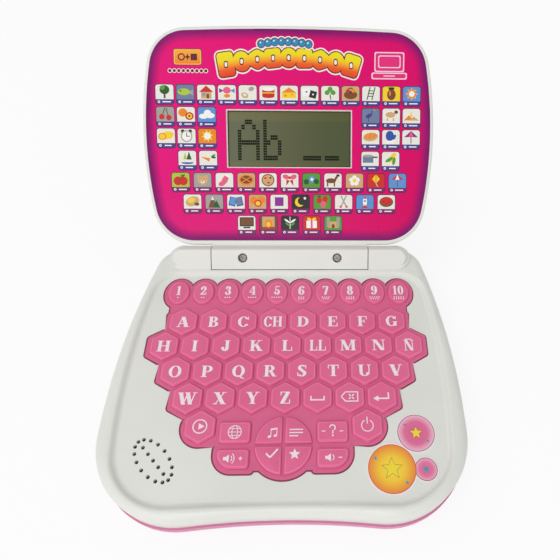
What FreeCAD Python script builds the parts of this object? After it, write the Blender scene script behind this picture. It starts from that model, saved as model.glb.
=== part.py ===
import FreeCAD
import Part
import Sketcher
import math
import os

# Toy laptop computer, millimetres. The origin is on the floor under the middle of the base,
# X to the right, Y to the hinge, Z up. The lid stands open on its stop.

doc = FreeCAD.newDocument("toy_laptop")
sheet = doc.addObject("Spreadsheet::Sheet", "sizes")
spare_sheet = doc.addObject("Spreadsheet::Sheet", "spare")

SIZES = [
    # base: outline in plan, with a dip in the front edge for the fingers
    ("base_half_width", 111.3),
    ("base_wide_y", -29),
    ("base_side_radius", 440),
    ("base_front_y", -88.6),
    ("base_front_radius", 50),
    ("base_front_dip", 3.2),
    ("base_rear_y", 99),
    ("base_rear_radius", 18),
    ("parting_z", 12),
    ("rim_z", 30.5),
    ("rim_round", 7),
    ("bottom_round", 6),
    ("front_lip", 1.2),
    ("shell_wall", 2.2),
    # deck: the sunk face round the keys
    ("deck_drop", 2.5),
    ("deck_rim", 9.3),
    ("deck_side_radius", 430),
    ("deck_front_y", -82.6),
    ("deck_front_radius", 36),
    ("deck_front_dip", 0.6),
    ("deck_rear_y", 76.5),
    ("deck_rear_radius", 20),
    ("deck_slope", 45),
    ("deck_round", 3),
    ("crest_round", 2.5),
    # keys
    ("key_pitch", 20),
    ("row_pitch", 18),
    ("hex_across", 18.4),
    ("hex_corner", 2.2),
    ("key_rise", 2),
    ("key_bevel", 0.6),
    ("key_travel", 1.2),
    ("key_clearance", 0.12),
    ("number_pitch", 17),
    ("number_y", 59.2),
    ("number_width", 14.8),
    ("number_length", 18.6),
    ("menu_y", -47.4),
    ("menu_radius", 17),
    ("menu_gap", 1.8),
    ("side_key_x", 29),
    ("side_key_width", 18.8),
    ("word_key_y", -39.6),
    ("word_key_depth", 13),
    ("volume_key_y", -55.1),
    ("volume_key_depth", 11.2),
    ("side_key_corner", 2),
    ("volume_corner", 8.6),
    # silicone sheet and circuit board under the keys
    ("opening_margin", 2.2),
    ("sheet_flange", 2.5),
    ("sheet_thick", 1.5),
    ("web_drop", 0.1),
    ("web_gap", 0.5),
    ("board_half_width", 86),
    ("board_front_half_width", 56.5),
    ("board_front_y", -66),
    ("board_step_y", -30),
    ("board_rear_y", 69),
    ("board_thick", 1.6),
    ("board_gap", 0.4),
    ("board_post_x", 74),
    ("board_post_front_y", -21),
    ("board_post_rear_y", 58),
    ("board_post_radius", 3),
    # speaker under a leaf of holes
    ("speaker_inset", 27.2),
    ("speaker_y", -55.2),
    ("speaker_radius", 16.2),
    ("speaker_frame", 3),
    ("speaker_magnet_radius", 9),
    ("speaker_magnet", 5),
    ("grille_long", 15.1),
    ("grille_short", 7.9),
    ("grille_turn", -46.5),
    ("grille_hole", 0.95),
    ("grille_step", 5.2),
    # battery bay and its door
    ("bay_y", 36),
    ("bay_length", 58),
    ("bay_width", 48),
    ("bay_wall", 4.3),
    ("bay_roof", 1.4),
    ("door_ledge", 2.2),
    ("door_gap", 0.3),
    ("door_corner", 3),
    ("cell_radius", 7.1),
    ("cell_length", 49.2),
    ("cell_nub_radius", 2.7),
    ("cell_nub", 1.2),
    ("cell_pitch", 15.5),
    ("cell_rest", 0.2),
    ("contact_thick", 0.5),
    ("contact_height", 11),
    ("contact_pad_radius", 3),
    # screws
    ("screw_head_radius", 2.8),
    ("screw_head", 2),
    ("screw_radius", 1.3),
    ("screw_length", 11),
    ("screw_head_gap", 0.6),
    ("screw_fit", 0.05),
    ("screw_seat_z", 7.5),
    ("screw_tube_radius", 4.8),
    ("screw_post_radius", 3.6),
    ("screw_rear_x", 90),
    ("screw_rear_y", 70.5),
    ("screw_side_x", 101),
    ("screw_side_y", -20),
    ("screw_front_x", 52),
    ("screw_front_y", -78.5),
    ("door_screw_x", 36.8),
    # hinge
    ("hinge_y", 88.4),
    ("hinge_z", 31.3),
    ("hinge_radius", 8.4),
    ("hinge_flat", 6),
    ("hinge_lip", 8.1),
    ("hinge_gap", 0.6),
    ("knuckle_half", 55.8),
    ("ear_end", 87),
    ("pin_radius", 2.5),
    ("pin_length", 26),
    ("pin_in_ear", 15),
    ("pin_fit", 0.05),
    ("knuckle_screw_x", 33.8),
    ("knuckle_screw_depth", 4),
    ("knuckle_screw_length", 9.5),
    # lid, drawn flat: x across, y from the hinge axis to the free edge, z towards the child
    ("lid_tilt", 49),
    ("lid_half_width", 102.6),
    ("lid_wide_y", 88),
    ("lid_side_radius", 285),
    ("lid_free_y", 159.3),
    ("lid_free_radius", 28),
    ("lid_free_bulge", 1.6),
    ("lid_root_radius", 30),
    ("lid_face", 0.3),
    ("lid_split", 5),
    ("lid_back", 13.7),
    ("lid_wall", 2),
    ("lid_front_round", 1.5),
    ("lid_back_round", 5),
    ("panel_inset", 2.3),
    ("panel_root_y", 12.2),
    ("panel_root_radius", 27),
    ("panel_thick", 0.5),
    ("panel_sink", 0.1),
    ("panel_fit", 0.1),
    ("window_half_width", 43.6),
    ("window_low_y", 64.6),
    ("window_high_y", 103.6),
    ("window_bevel", 0.8),
    ("glass_lap", 3),
    ("glass_thick", 2.6),
    ("glass_board_lap", 2.5),
    ("glass_board_thick", 1.6),
    # sticker on the deck
    ("sticker_thick", 0.2),
    ("sticker_inset", 38.7),
    ("sticker_y", -61.4),
    ("sticker_radius", 15),
    ("sticker_top_inset", 22.8),
    ("sticker_top_y", -40.7),
    ("sticker_top_radius", 12),
    ("sticker_side_inset", 19),
    ("sticker_side_y", -62),
    ("sticker_side_radius", 7.2),
]

DERIVED = [
    ("deck_z", "rim_z - deck_drop"),
    ("ceiling_z", "deck_z - shell_wall"),
    ("floor_z", "shell_wall"),
    ("sheet_z", "ceiling_z - sheet_thick"),
    ("key_z", "deck_z + key_rise"),
    ("key_height", "key_z - sheet_z"),
    ("web_z", "deck_z - web_drop"),
    ("board_z", "sheet_z - key_travel - board_gap - board_thick"),
    ("bay_roof_z", "floor_z + cell_rest + 2 * cell_radius + door_gap"),
    ("bay_block_height", "bay_roof_z + bay_roof - floor_z"),
    ("door_length", "bay_length + 2 * door_ledge"),
    ("door_width", "bay_width + 2 * door_ledge"),
    ("cell_z", "floor_z + cell_rest + cell_radius"),
    ("hex_radius", "hex_across / sqrt(3)"),
    ("hinge_reach", "sqrt(hinge_lip^2 + hinge_flat^2)"),
    ("trough_radius", "hinge_reach + hinge_gap"),
    ("ear_start", "knuckle_half + hinge_gap"),
    ("lid_root_y", "hinge_radius + hinge_gap"),
    ("lid_turn", "90 - lid_tilt"),
    ("plate_back", "lid_face - lid_wall"),
    ("panel_seat", "lid_face - panel_thick - panel_sink"),
    # outlines that follow another outline
    ("bottom_half_width", "base_half_width"),
    ("bottom_wide_y", "base_wide_y"),
    ("bottom_side_radius", "base_side_radius"),
    ("bottom_front_y", "base_front_y - front_lip"),
    ("bottom_front_radius", "base_front_radius"),
    ("bottom_front_dip", "base_front_dip"),
    ("bottom_rear_y", "base_rear_y"),
    ("bottom_rear_radius", "base_rear_radius"),
    ("cavity_half_width", "base_half_width - shell_wall"),
    ("cavity_wide_y", "base_wide_y"),
    ("cavity_side_radius", "base_side_radius - shell_wall"),
    ("cavity_front_y", "base_front_y + shell_wall"),
    ("cavity_front_radius", "base_front_radius - shell_wall"),
    ("cavity_front_dip", "base_front_dip"),
    ("cavity_rear_y", "hinge_y - trough_radius - shell_wall"),
    ("cavity_rear_radius", "base_rear_radius - shell_wall"),
    ("deck_half_width", "base_half_width - deck_rim"),
    ("deck_wide_y", "base_wide_y + 17"),
    ("speaker_x", "speaker_inset - deck_half_width"),
    ("sticker_x", "deck_half_width - sticker_inset"),
    ("sticker_top_x", "deck_half_width - sticker_top_inset"),
    ("sticker_side_x", "deck_half_width - sticker_side_inset"),
    ("panel_half_width", "lid_half_width - panel_inset"),
    ("panel_wide_y", "lid_wide_y"),
    ("panel_side_radius", "lid_side_radius - panel_inset"),
    ("panel_free_y", "lid_free_y - panel_inset"),
    ("panel_free_radius", "lid_free_radius - panel_inset"),
    ("panel_free_bulge", "lid_free_bulge"),
]


def outline_cells(name, end, root, sag, turn):
    # centres and unit normals of the tangent arcs of one outline
    p = name + "_"
    side_minus_end = "(%sside_radius - %s%s_radius)" % (p, p, end)
    side_minus_root = "(%sside_radius - %s%s_radius)" % (p, p, root)
    bulge = "%d * %s%s" % (-turn, p, sag) if sag.endswith("dip") else "%d * %s%s" % (turn, p, sag)
    out_sag = "-%s%s" % (p, sag) if sag.endswith("dip") else "%s%s" % (p, sag)
    return [
        (p + "sx", "%shalf_width - %sside_radius" % (p, p)),
        (p + "ecy", "%s%s_y - %d * %s%s_radius" % (p, end, turn, p, end)),
        (p + "ecx", "%ssx + sqrt(%s^2 - (%secy - %swide_y)^2)" % (p, side_minus_end, p, p)),
        (p + "rcy", "%s%s_y + %d * %s%s_radius" % (p, root, turn, p, root)),
        (p + "rcx", "%ssx + sqrt(%s^2 - (%srcy - %swide_y)^2)" % (p, side_minus_root, p, p)),
        (p + "mid", "%s%s_y + %s" % (p, end, bulge)),
        (p + "er", "(%secx^2 + (%secy - %smid)^2 - %s%s_radius^2) / (2 * (%s))"
         % (p, p, p, p, end, out_sag)),
        (p + "nax", "%secx / (%ser - %s%s_radius)" % (p, p, p, end)),
        (p + "nay", "(%secy - %smid + %d * %ser) / (%ser - %s%s_radius)" % (p, p, turn, p, p, p, end)),
        (p + "nbx", "(%secx - %ssx) / %s" % (p, p, side_minus_end)),
        (p + "nby", "(%secy - %swide_y) / %s" % (p, p, side_minus_end)),
        (p + "ncx", "(%srcx - %ssx) / %s" % (p, p, side_minus_root)),
        (p + "ncy", "(%srcy - %swide_y) / %s" % (p, p, side_minus_root)),
    ]


OUTLINES = {
    "base": ("front", "rear", "front_dip", -1),
    "bottom": ("front", "rear", "front_dip", -1),
    "cavity": ("front", "rear", "front_dip", -1),
    "deck": ("front", "rear", "front_dip", -1),
    "lid": ("free", "root", "free_bulge", 1),
    "panel": ("free", "root", "free_bulge", 1),
}
for outline_name, kind in OUTLINES.items():
    DERIVED += outline_cells(outline_name, *kind)

for number, (alias, value) in enumerate(SIZES, start=1):
    sheet.set("A%d" % number, alias)
    sheet.set("B%d" % number, str(value))
    sheet.setAlias("B%d" % number, alias)
for number, (alias, formula) in enumerate(DERIVED, start=1):
    sheet.set("D%d" % number, alias)
    sheet.set("E%d" % number, "=" + formula)
    sheet.setAlias("E%d" % number, alias)
doc.recompute()


def val(alias):
    return float(sheet.get(alias))


def cell(text):
    # every size named in a formula gets the sheet's name in front
    words = set(alias for alias, _ in SIZES) | set(alias for alias, _ in DERIVED)
    out = ""
    word = ""
    for char in text + " ":
        if char.isalnum() or char == "_":
            word += char
            continue
        out += ("sizes." + word if word in words else word) + char
        word = ""
    return out.strip()


def number_of(text):
    # the value of a sum of sheet sizes, worked out in a spare sheet
    spare_sheet.set("A1", "=" + cell(text))
    spare_sheet.recompute()
    return float(spare_sheet.get("A1"))


def bind(obj, **links):
    for prop, text in links.items():
        obj.setExpression(prop.replace("_at_", "."), cell(text))
    return obj


def place(obj, x="0", y="0", z="0"):
    obj.setExpression("Placement.Base.x", cell(x))
    obj.setExpression("Placement.Base.y", cell(y))
    obj.setExpression("Placement.Base.z", cell(z))
    return obj


def box(name, x, y, z, length, width, height):
    item = doc.addObject("Part::Box", name)
    bind(item, Length=length, Width=width, Height=height)
    return place(item, x, y, z)


def rod(name, x, y, z, radius, height, axis="z"):
    item = doc.addObject("Part::Cylinder", name)
    if axis == "x":
        item.Placement = FreeCAD.Placement(FreeCAD.Vector(), FreeCAD.Rotation(FreeCAD.Vector(0, 1, 0), 90))
    bind(item, Radius=radius, Height=height)
    return place(item, x, y, z)


def join(name, items):
    item = doc.addObject("Part::MultiFuse", name)
    item.Shapes = items
    item.Refine = True
    return item


def cut(name, base, tool):
    item = doc.addObject("Part::Cut", name)
    item.Base = base
    item.Tool = tool
    item.Refine = True
    return item


def group(name, items):
    item = doc.addObject("Part::Compound", name)
    item.Links = items
    return item


def lay(obj):
    # a piece of the lid, drawn flat, stands on the hinge axis at the open angle
    obj.Placement = FreeCAD.Placement(FreeCAD.Vector(), FreeCAD.Rotation(FreeCAD.Vector(1, 0, 0), 1))
    place(obj, "0", "hinge_y", "hinge_z")
    obj.setExpression("Placement.Rotation.Angle", cell("lid_turn"))
    return obj


def plane_of(body, role):
    for feature in body.Origin.OriginFeatures:
        if feature.Role == role:
            return feature
    return None


def new_sketch(body, name, z):
    sketch = body.newObject("Sketcher::SketchObject", name)
    sketch.AttachmentSupport = [(plane_of(body, "XY_Plane"), "")]
    sketch.MapMode = "FlatFace"
    sketch.setExpression("AttachmentOffset.Base.z", cell(z))
    return sketch


def draw_outline(body, name, kind, inset, z):
    # closed outline of tangent arcs, moved inwards by inset, at height z
    end, root, sag, turn = OUTLINES[kind]
    p = kind + "_"
    sketch = new_sketch(body, name, z)
    er = "(%s%s_radius - (%s))" % (p, end, inset)
    rr = "(%s%s_radius - (%s))" % (p, root, inset)
    right = [
        ("%secx + %s * %snax" % (p, er, p), "%secy + %s * %snay" % (p, er, p)),
        ("%secx + %s * %snbx" % (p, er, p), "%secy + %s * %snby" % (p, er, p)),
        ("%srcx + %s * %sncx" % (p, rr, p), "%srcy + %s * %sncy" % (p, rr, p)),
        ("%srcx" % p, "%s%s_y + %d * (%s)" % (p, root, turn, inset)),
    ]
    left = [("-(%s)" % x, y) for x, y in right]
    points = right + left[::-1]
    spots = [FreeCAD.Vector(number_of(x), number_of(y), 0) for x, y in points]
    end_centre = FreeCAD.Vector(val(p + "ecx"), val(p + "ecy"), 0)
    root_centre = FreeCAD.Vector(val(p + "rcx"), val(p + "rcy"), 0)
    side_centre = FreeCAD.Vector(val(p + "sx"), val(p + "wide_y"), 0)
    mid_centre = FreeCAD.Vector(0, val(p + "mid") - turn * val(p + "er"), 0)

    def mirrored(v):
        return FreeCAD.Vector(-v.x, v.y, 0)

    side = "%sside_radius - (%s)" % (p, inset)
    arcs = [
        (end_centre, er), (side_centre, side), (root_centre, rr), None,
        (mirrored(root_centre), rr), (mirrored(side_centre), side), (mirrored(end_centre), er),
        (mid_centre, "abs(%ser - (%s))" % (p, inset)),
    ]
    heads = []
    for index, arc in enumerate(arcs):
        first = spots[index]
        last = spots[(index + 1) % 8]
        if arc is None:
            geo = sketch.addGeometry(Part.LineSegment(first, last), False)
            heads.append((geo, 1, 2))
            continue
        centre = arc[0]
        a = math.atan2(first.y - centre.y, first.x - centre.x)
        b = math.atan2(last.y - centre.y, last.x - centre.x)
        turn_left = math.sin(b - a) > 0
        start, stop = (a, b) if turn_left else (b, a)
        circle = Part.Circle(centre, FreeCAD.Vector(0, 0, 1), (first - centre).Length)
        geo = sketch.addGeometry(Part.ArcOfCircle(circle, start, stop), False)
        heads.append((geo, 1, 2) if turn_left else (geo, 2, 1))
    for index in range(8):
        geo, head, tail = heads[index]
        after = heads[(index + 1) % 8]
        sketch.addConstraint(Sketcher.Constraint("Coincident", geo, tail, after[0], after[1]))
    for index in range(8):
        geo, head, tail = heads[index]
        x, y = points[index]
        where = sketch.addConstraint(Sketcher.Constraint("DistanceX", geo, head, spots[index].x))
        sketch.setExpression("Constraints[%d]" % where, cell(x))
        where = sketch.addConstraint(Sketcher.Constraint("DistanceY", geo, head, spots[index].y))
        sketch.setExpression("Constraints[%d]" % where, cell(y))
        if arcs[index] is not None:
            where = sketch.addConstraint(Sketcher.Constraint("Radius", geo, number_of(arcs[index][1])))
            sketch.setExpression("Constraints[%d]" % where, cell(arcs[index][1]))
    return sketch


def draw_rectangle(body, name, half, low, high, z):
    # rectangle that is the same on both sides of the middle plane
    sketch = new_sketch(body, name, z)
    x = number_of(half)
    corners = [(x, number_of(low)), (x, number_of(high)), (-x, number_of(high)), (-x, number_of(low))]
    texts = [(half, low), (half, high), ("-(%s)" % half, high), ("-(%s)" % half, low)]
    for index in range(4):
        first = FreeCAD.Vector(*corners[index], 0)
        last = FreeCAD.Vector(*corners[(index + 1) % 4], 0)
        sketch.addGeometry(Part.LineSegment(first, last), False)
    for index in range(4):
        sketch.addConstraint(Sketcher.Constraint("Coincident", index, 2, (index + 1) % 4, 1))
    for index in range(4):
        where = sketch.addConstraint(Sketcher.Constraint("DistanceX", index, 1, corners[index][0]))
        sketch.setExpression("Constraints[%d]" % where, cell(texts[index][0]))
        where = sketch.addConstraint(Sketcher.Constraint("DistanceY", index, 1, corners[index][1]))
        sketch.setExpression("Constraints[%d]" % where, cell(texts[index][1]))
    return sketch


def pad(body, name, sketch, length, down=False):
    item = body.newObject("PartDesign::Pad", name)
    item.Profile = sketch
    item.Reversed = down
    item.setExpression("Length", cell(length))
    doc.recompute()
    return item


def pocket(body, name, sketch, length, up=False):
    before = body.Shape.Volume
    item = body.newObject("PartDesign::Pocket", name)
    item.Profile = sketch
    item.Reversed = up
    item.setExpression("Length", cell(length))
    doc.recompute()
    if body.Shape.Volume > before - 1:
        raise RuntimeError(name + " cut nothing")
    return item


def round_edges(body, name, base, z, radius, kind, least):
    # edges of the outline at one height, told from inner edges by their distance from the middle
    picked = []
    for index, edge in enumerate(base.Shape.Edges, start=1):
        box_of = edge.BoundBox
        if abs(box_of.ZMin - z) < 1e-4 and abs(box_of.ZMax - z) < 1e-4 and least(edge):
            picked.append("Edge%d" % index)
    item = body.newObject("PartDesign::" + kind, name)
    item.Base = (base, picked)
    if kind == "Fillet":
        item.setExpression("Radius", cell(radius))
    else:
        item.setExpression("Size", cell(radius))
    doc.recompute()
    return item


def any_edge(edge):
    return True


def sharp_edges(shape, above=None):
    # numbers of the edges where two faces meet at an angle: the upright ones, or all above a height
    found = []
    for index, edge in enumerate(shape.Edges, start=1):
        faces = shape.ancestorsOfType(edge, Part.Face)
        wanted = edge.BoundBox.ZLength > 0.5 if above is None else edge.BoundBox.ZMin > above
        if not wanted or len(faces) < 2:
            continue
        middle = edge.valueAt((edge.FirstParameter + edge.LastParameter) / 2)
        ways = [face.normalAt(*face.Surface.parameter(middle)) for face in faces]
        if abs(ways[0].dot(ways[1])) < 0.92:
            found.append(index)
    return found


parts = []


def keep(obj, label):
    obj.Label = label
    parts.append(obj)
    return obj


# key places: row, column and form; letters and digits only name the pieces
hex_keys = []
rows = [
    (2, ["a", "b", "c", "ch", "d", "e", "f", "g"]),
    (1, ["h", "i", "j", "k", "l", "ll", "m", "n", "enye"]),
    (0, ["o", "p", "q", "r", "s", "t", "u", "v"]),
    (-1, ["w", "x", "y", "z", "space", "clear", "enter"]),
]
for row, names in rows:
    for column, key in enumerate(names):
        offset = column - (len(names) - 1) / 2
        hex_keys.append(("key_" + key, "%s * key_pitch" % offset, "%d * row_pitch" % row))
hex_keys.append(("key_demo", "-2.5 * key_pitch", "-2 * row_pitch"))
hex_keys.append(("key_power", "2.5 * key_pitch", "-2 * row_pitch"))
number_places = ["%s * number_pitch" % (column - 4.5) for column in range(10)]
side_keys = [
    ("key_language", -1, "word_key_y", "word_key_depth", None),
    ("key_help", 1, "word_key_y", "word_key_depth", None),
    ("key_volume_up", -1, "volume_key_y", "volume_key_depth", "volume_corner"),
    ("key_volume_down", 1, "volume_key_y", "volume_key_depth", "volume_corner"),
]
menu_keys = [("key_menu_a", -1, 1), ("key_menu_b", 1, 1), ("key_menu_c", -1, -1), ("key_menu_d", 1, -1)]


def hexagon(name, x, y, z, grow, height):
    item = doc.addObject("Part::Prism", name)
    item.Polygon = 6
    item.Placement = FreeCAD.Placement(FreeCAD.Vector(), FreeCAD.Rotation(FreeCAD.Vector(0, 0, 1), 30))
    bind(item, Circumradius="hex_radius + (%s) * 2 / sqrt(3)" % grow, Height=height)
    return place(item, x, y, z)


def oval(name, x, y, z, grow, height):
    edge = doc.addObject("Part::Ellipse", name + "_edge")
    edge.Placement = FreeCAD.Placement(FreeCAD.Vector(), FreeCAD.Rotation(FreeCAD.Vector(0, 0, 1), 90))
    bind(edge, MajorRadius="number_length / 2 + (%s)" % grow, MinorRadius="number_width / 2 + (%s)" % grow)
    place(edge, x, y, z)
    item = doc.addObject("Part::Extrusion", name)
    item.Base = edge
    item.DirMode = "Custom"
    item.Dir = FreeCAD.Vector(0, 0, 1)
    item.Solid = True
    return bind(item, LengthFwd=height)


def tablet(name, side, y, z, depth, corner, grow, height):
    # a side key: a plain tablet, or one with a wide arc at its outer front corner
    half = "side_key_width / 2 + (%s)" % grow
    deep = "(%s) / 2 + (%s)" % (depth, grow)
    whole = box(name + "_plain" if corner else name, "%d * side_key_x - (%s)" % (side, half),
                "(%s) - (%s)" % (y, deep), z, "2 * (%s)" % half, "2 * (%s)" % deep, height)
    if corner is None:
        return whole
    reach = "%s + (%s)" % (corner, grow)
    edge = "side_key_x + side_key_width / 2"
    start = "%s - %s" % (edge, corner) if side > 0 else "-(%s) - (%s) - 1" % (edge, grow)
    spare = box(name + "_spare", start, "(%s) - (%s) - 1" % (y, deep), z, reach + " + 1", reach + " + 1",
                height)
    arc = rod(name + "_arc", "%d * (%s - %s)" % (side, edge, corner),
              "(%s) - (%s) / 2 + %s" % (y, depth, corner), z, reach, height)
    return cut(name, whole, cut(name + "_bite", spare, arc))


def quarter(name, across, along, z, grow, height):
    disc = rod(name + "_disc", "0", "menu_y", z, "menu_radius + (%s)" % grow, height)
    x = "menu_gap / 2 - (%s)" % grow if across > 0 else "-menu_gap / 2 - menu_radius"
    y = "menu_y + menu_gap / 2 - (%s)" % grow if along > 0 else "menu_y - menu_gap / 2 - menu_radius"
    side = "menu_radius + (%s)" % grow
    item = doc.addObject("Part::Common", name)
    item.Base = disc
    item.Tool = box(name + "_corner", x, y, z, side, side, height)
    return item


def rounded(name, base, radius):
    # the upright corners of a form, without the lines where an arc runs on into a flat side
    form = doc.addObject("Part::Fillet", name)
    form.Base = base
    form.Edges = [(index, radius, radius) for index in sharp_edges(base.Shape)]
    return form


def key_field(name, z, grow, height, corner=None):
    # every key's outline grown by the same margin; the two lowest hexagons stand in round lobes
    items = []
    sharp = []
    for index, (key, x, y) in enumerate(hex_keys):
        if key in ("key_demo", "key_power"):
            items.append(rod("%s_lobe_%d" % (name, index), x, y, z, "hex_across / 2 + (%s)" % grow, height))
        else:
            sharp.append(hexagon("%s_hex_%d" % (name, index), x, y, z, grow, height))
    for index, x in enumerate(number_places):
        items.append(oval("%s_oval_%d" % (name, index), x, "number_y", z, grow, height))
    for index, (key, side, y, depth, arc) in enumerate(side_keys):
        sharp.append(tablet("%s_tablet_%d" % (name, index), side, y, z, depth, arc, grow, height))
    items.append(rod(name + "_disc", "0", "menu_y", z, "menu_radius + (%s)" % grow, height))
    if corner is not None:
        doc.recompute()
        sharp = [rounded(item.Name + "_round", item, corner) for item in sharp]
    # strips between the number row, the letter rows, the side keys and the round menu
    items.append(box(name + "_bridge_top", "-4 * key_pitch + 0.5 - (%s) / 5" % grow, "2 * row_pitch", z,
                     "8 * key_pitch - 1 + (%s) / 2.5" % grow, "number_y - 2 * row_pitch", height))
    items.append(box(name + "_bridge_low", "-2.5 * key_pitch", "-2 * row_pitch - hex_across / 2 - (%s)" % grow,
                     z, "5 * key_pitch", "row_pitch + hex_across / 2 + (%s)" % grow, height))
    items.append(box(name + "_bridge_front", "-side_key_x", "volume_key_y - volume_key_depth / 2", z,
                     "2 * side_key_x", "volume_key_depth", height))
    return join(name, items + sharp)


def key_holes(name, z, height):
    # a hole of its own for every key
    items = []
    sharp = []
    for index, (key, x, y) in enumerate(hex_keys):
        sharp.append((hexagon("%s_hex_%d" % (name, index), x, y, z, "key_clearance", height), "hex_corner"))
    for index, x in enumerate(number_places):
        items.append(oval("%s_oval_%d" % (name, index), x, "number_y", z, "key_clearance", height))
    for index, (key, side, y, depth, arc) in enumerate(side_keys):
        sharp.append((tablet("%s_tablet_%d" % (name, index), side, y, z, depth, arc, "key_clearance", height),
                      "side_key_corner"))
    for index, (key, across, along) in enumerate(menu_keys):
        items.append(quarter("%s_quarter_%d" % (name, index), across, along, z, "key_clearance", height))
    doc.recompute()
    items += [rounded(item.Name + "_round", item, val(corner)) for item, corner in sharp]
    return group(name, items)


# top shell: rounded rim, sunk deck, hollow, hinge ears
top = doc.addObject("PartDesign::Body", "top_body")
top_pad = pad(top, "top_pad", draw_outline(top, "top_outline", "base", "0", "parting_z"),
              "rim_z - parting_z")
round_edges(top, "top_round", top_pad, val("rim_z"), "rim_round", "Fillet", any_edge)
deck_pocket = pocket(top, "deck_pocket", draw_outline(top, "deck_outline", "deck", "0", "rim_z"), "deck_drop")
deck_pocket.setExpression("TaperAngle", cell("-deck_slope"))
doc.recompute()
deck_soft = round_edges(top, "deck_soft", deck_pocket, val("deck_z"), "deck_round", "Fillet", any_edge)
crest = top.newObject("PartDesign::Fillet", "crest_soft")
crest.Base = (deck_soft, ["Edge%d" % index for index in sharp_edges(deck_soft.Shape, val("deck_z") + 1)])
crest.setExpression("Radius", cell("crest_round"))
doc.recompute()
pocket(top, "top_hollow", draw_outline(top, "cavity_outline", "cavity", "0", "parting_z"),
       "ceiling_z - parting_z", True)

screw_spots = [
    ("-screw_rear_x", "screw_rear_y"), ("screw_rear_x", "screw_rear_y"),
    ("-screw_side_x", "screw_side_y"), ("screw_side_x", "screw_side_y"),
    ("-screw_front_x", "screw_front_y"), ("screw_front_x", "screw_front_y"),
]
add = [top]
for side, start in (("left", "-ear_end"), ("right", "ear_start")):
    length = "ear_end - ear_start - hinge_reach"
    inner = "ear_start" if side == "right" else "hinge_reach - ear_end"
    tip = "ear_end - hinge_reach" if side == "right" else "hinge_reach - ear_end"
    low = "deck_z - shell_wall"
    tall = "hinge_z - deck_z + shell_wall + 1"
    barrel = rod("ear_barrel_" + side, inner, "hinge_y", "hinge_z", "hinge_radius", length, "x")
    block = box("ear_block_" + side, inner, "hinge_y - hinge_reach", low, length,
                "hinge_reach + hinge_radius", tall)
    post = rod("ear_post_" + side, tip, "hinge_y", low, "hinge_reach", tall)
    dome = doc.addObject("Part::Sphere", "ear_dome_" + side)
    bind(dome, Radius="hinge_radius")
    place(dome, tip, "hinge_y", "hinge_z")
    ear = join("ear_form_" + side, [barrel, block, post, dome])
    flat = box("ear_flat_" + side, start + " - 1", "0", "0", "ear_end - ear_start + 2", "4 * hinge_radius",
               "2 * hinge_radius")
    flat.Placement = FreeCAD.Placement(FreeCAD.Vector(), FreeCAD.Rotation(FreeCAD.Vector(1, 0, 0), 1))
    turn_cos = "cos(lid_turn * 1 deg)"
    turn_sin = "sin(lid_turn * 1 deg)"
    place(flat, start + " - 1", "hinge_y - 2 * hinge_radius * %s - hinge_flat * %s" % (turn_cos, turn_sin),
          "hinge_z - 2 * hinge_radius * %s + hinge_flat * %s" % (turn_sin, turn_cos))
    flat.setExpression("Placement.Rotation.Angle", cell("lid_turn"))
    add.append(cut("ear_" + side, ear, flat))
for index, (x, y) in enumerate(screw_spots):
    add.append(rod("post_%d" % index, x, y, "parting_z", "screw_post_radius", "ceiling_z - parting_z"))
top_whole = join("top_whole", add)

take = [
    rod("trough", "-ear_start", "hinge_y", "hinge_z", "trough_radius", "2 * ear_start", "x"),
    box("trough_rear", "-ear_start", "hinge_y", "hinge_z - trough_radius", "2 * ear_start",
        "base_rear_y - hinge_y + 2 * hinge_radius", "2 * trough_radius"),
    rod("ear_bore_right", "ear_start - hinge_gap", "hinge_y", "hinge_z", "pin_radius + screw_fit / 2",
        "pin_in_ear + 2 * hinge_gap", "x"),
    rod("ear_bore_left", "-ear_start - pin_in_ear - hinge_gap", "hinge_y", "hinge_z",
        "pin_radius + screw_fit / 2", "pin_in_ear + 2 * hinge_gap", "x"),
]
for index, (x, y) in enumerate(screw_spots):
    take.append(rod("pilot_%d" % index, x, y, "parting_z - 1", "screw_radius + screw_fit",
                    "screw_seat_z + screw_length - parting_z + 2"))
hole_z = "ceiling_z - 1"
hole_height = "shell_wall + 2"
for index in range(16):
    angle = "%s * 1 deg" % (index * 22.5)
    along = "grille_long * cos(%s)" % angle
    across = "grille_short * sin(%s)" % angle
    x = "speaker_x + %s * cos(grille_turn * 1 deg) - %s * sin(grille_turn * 1 deg)" % (along, across)
    y = "speaker_y + %s * sin(grille_turn * 1 deg) + %s * cos(grille_turn * 1 deg)" % (along, across)
    take.append(rod("grille_%d" % index, x, y, hole_z, "grille_hole", hole_height))
for index in range(-2, 3):
    x = "speaker_x + %d * grille_step * cos(grille_turn * 1 deg)" % index
    y = "speaker_y + %d * grille_step * sin(grille_turn * 1 deg)" % index
    take.append(rod("grille_row_%d" % (index + 2), x, y, hole_z, "grille_hole", hole_height))
opening = key_field("key_opening", "ceiling_z - 1", "opening_margin", "shell_wall + 2", 1.4)
top_tools = join("top_tools", take)
keep(cut("top_drilled", cut("top_opened", top_whole, opening), top_tools), "base_top_shell")

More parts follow.
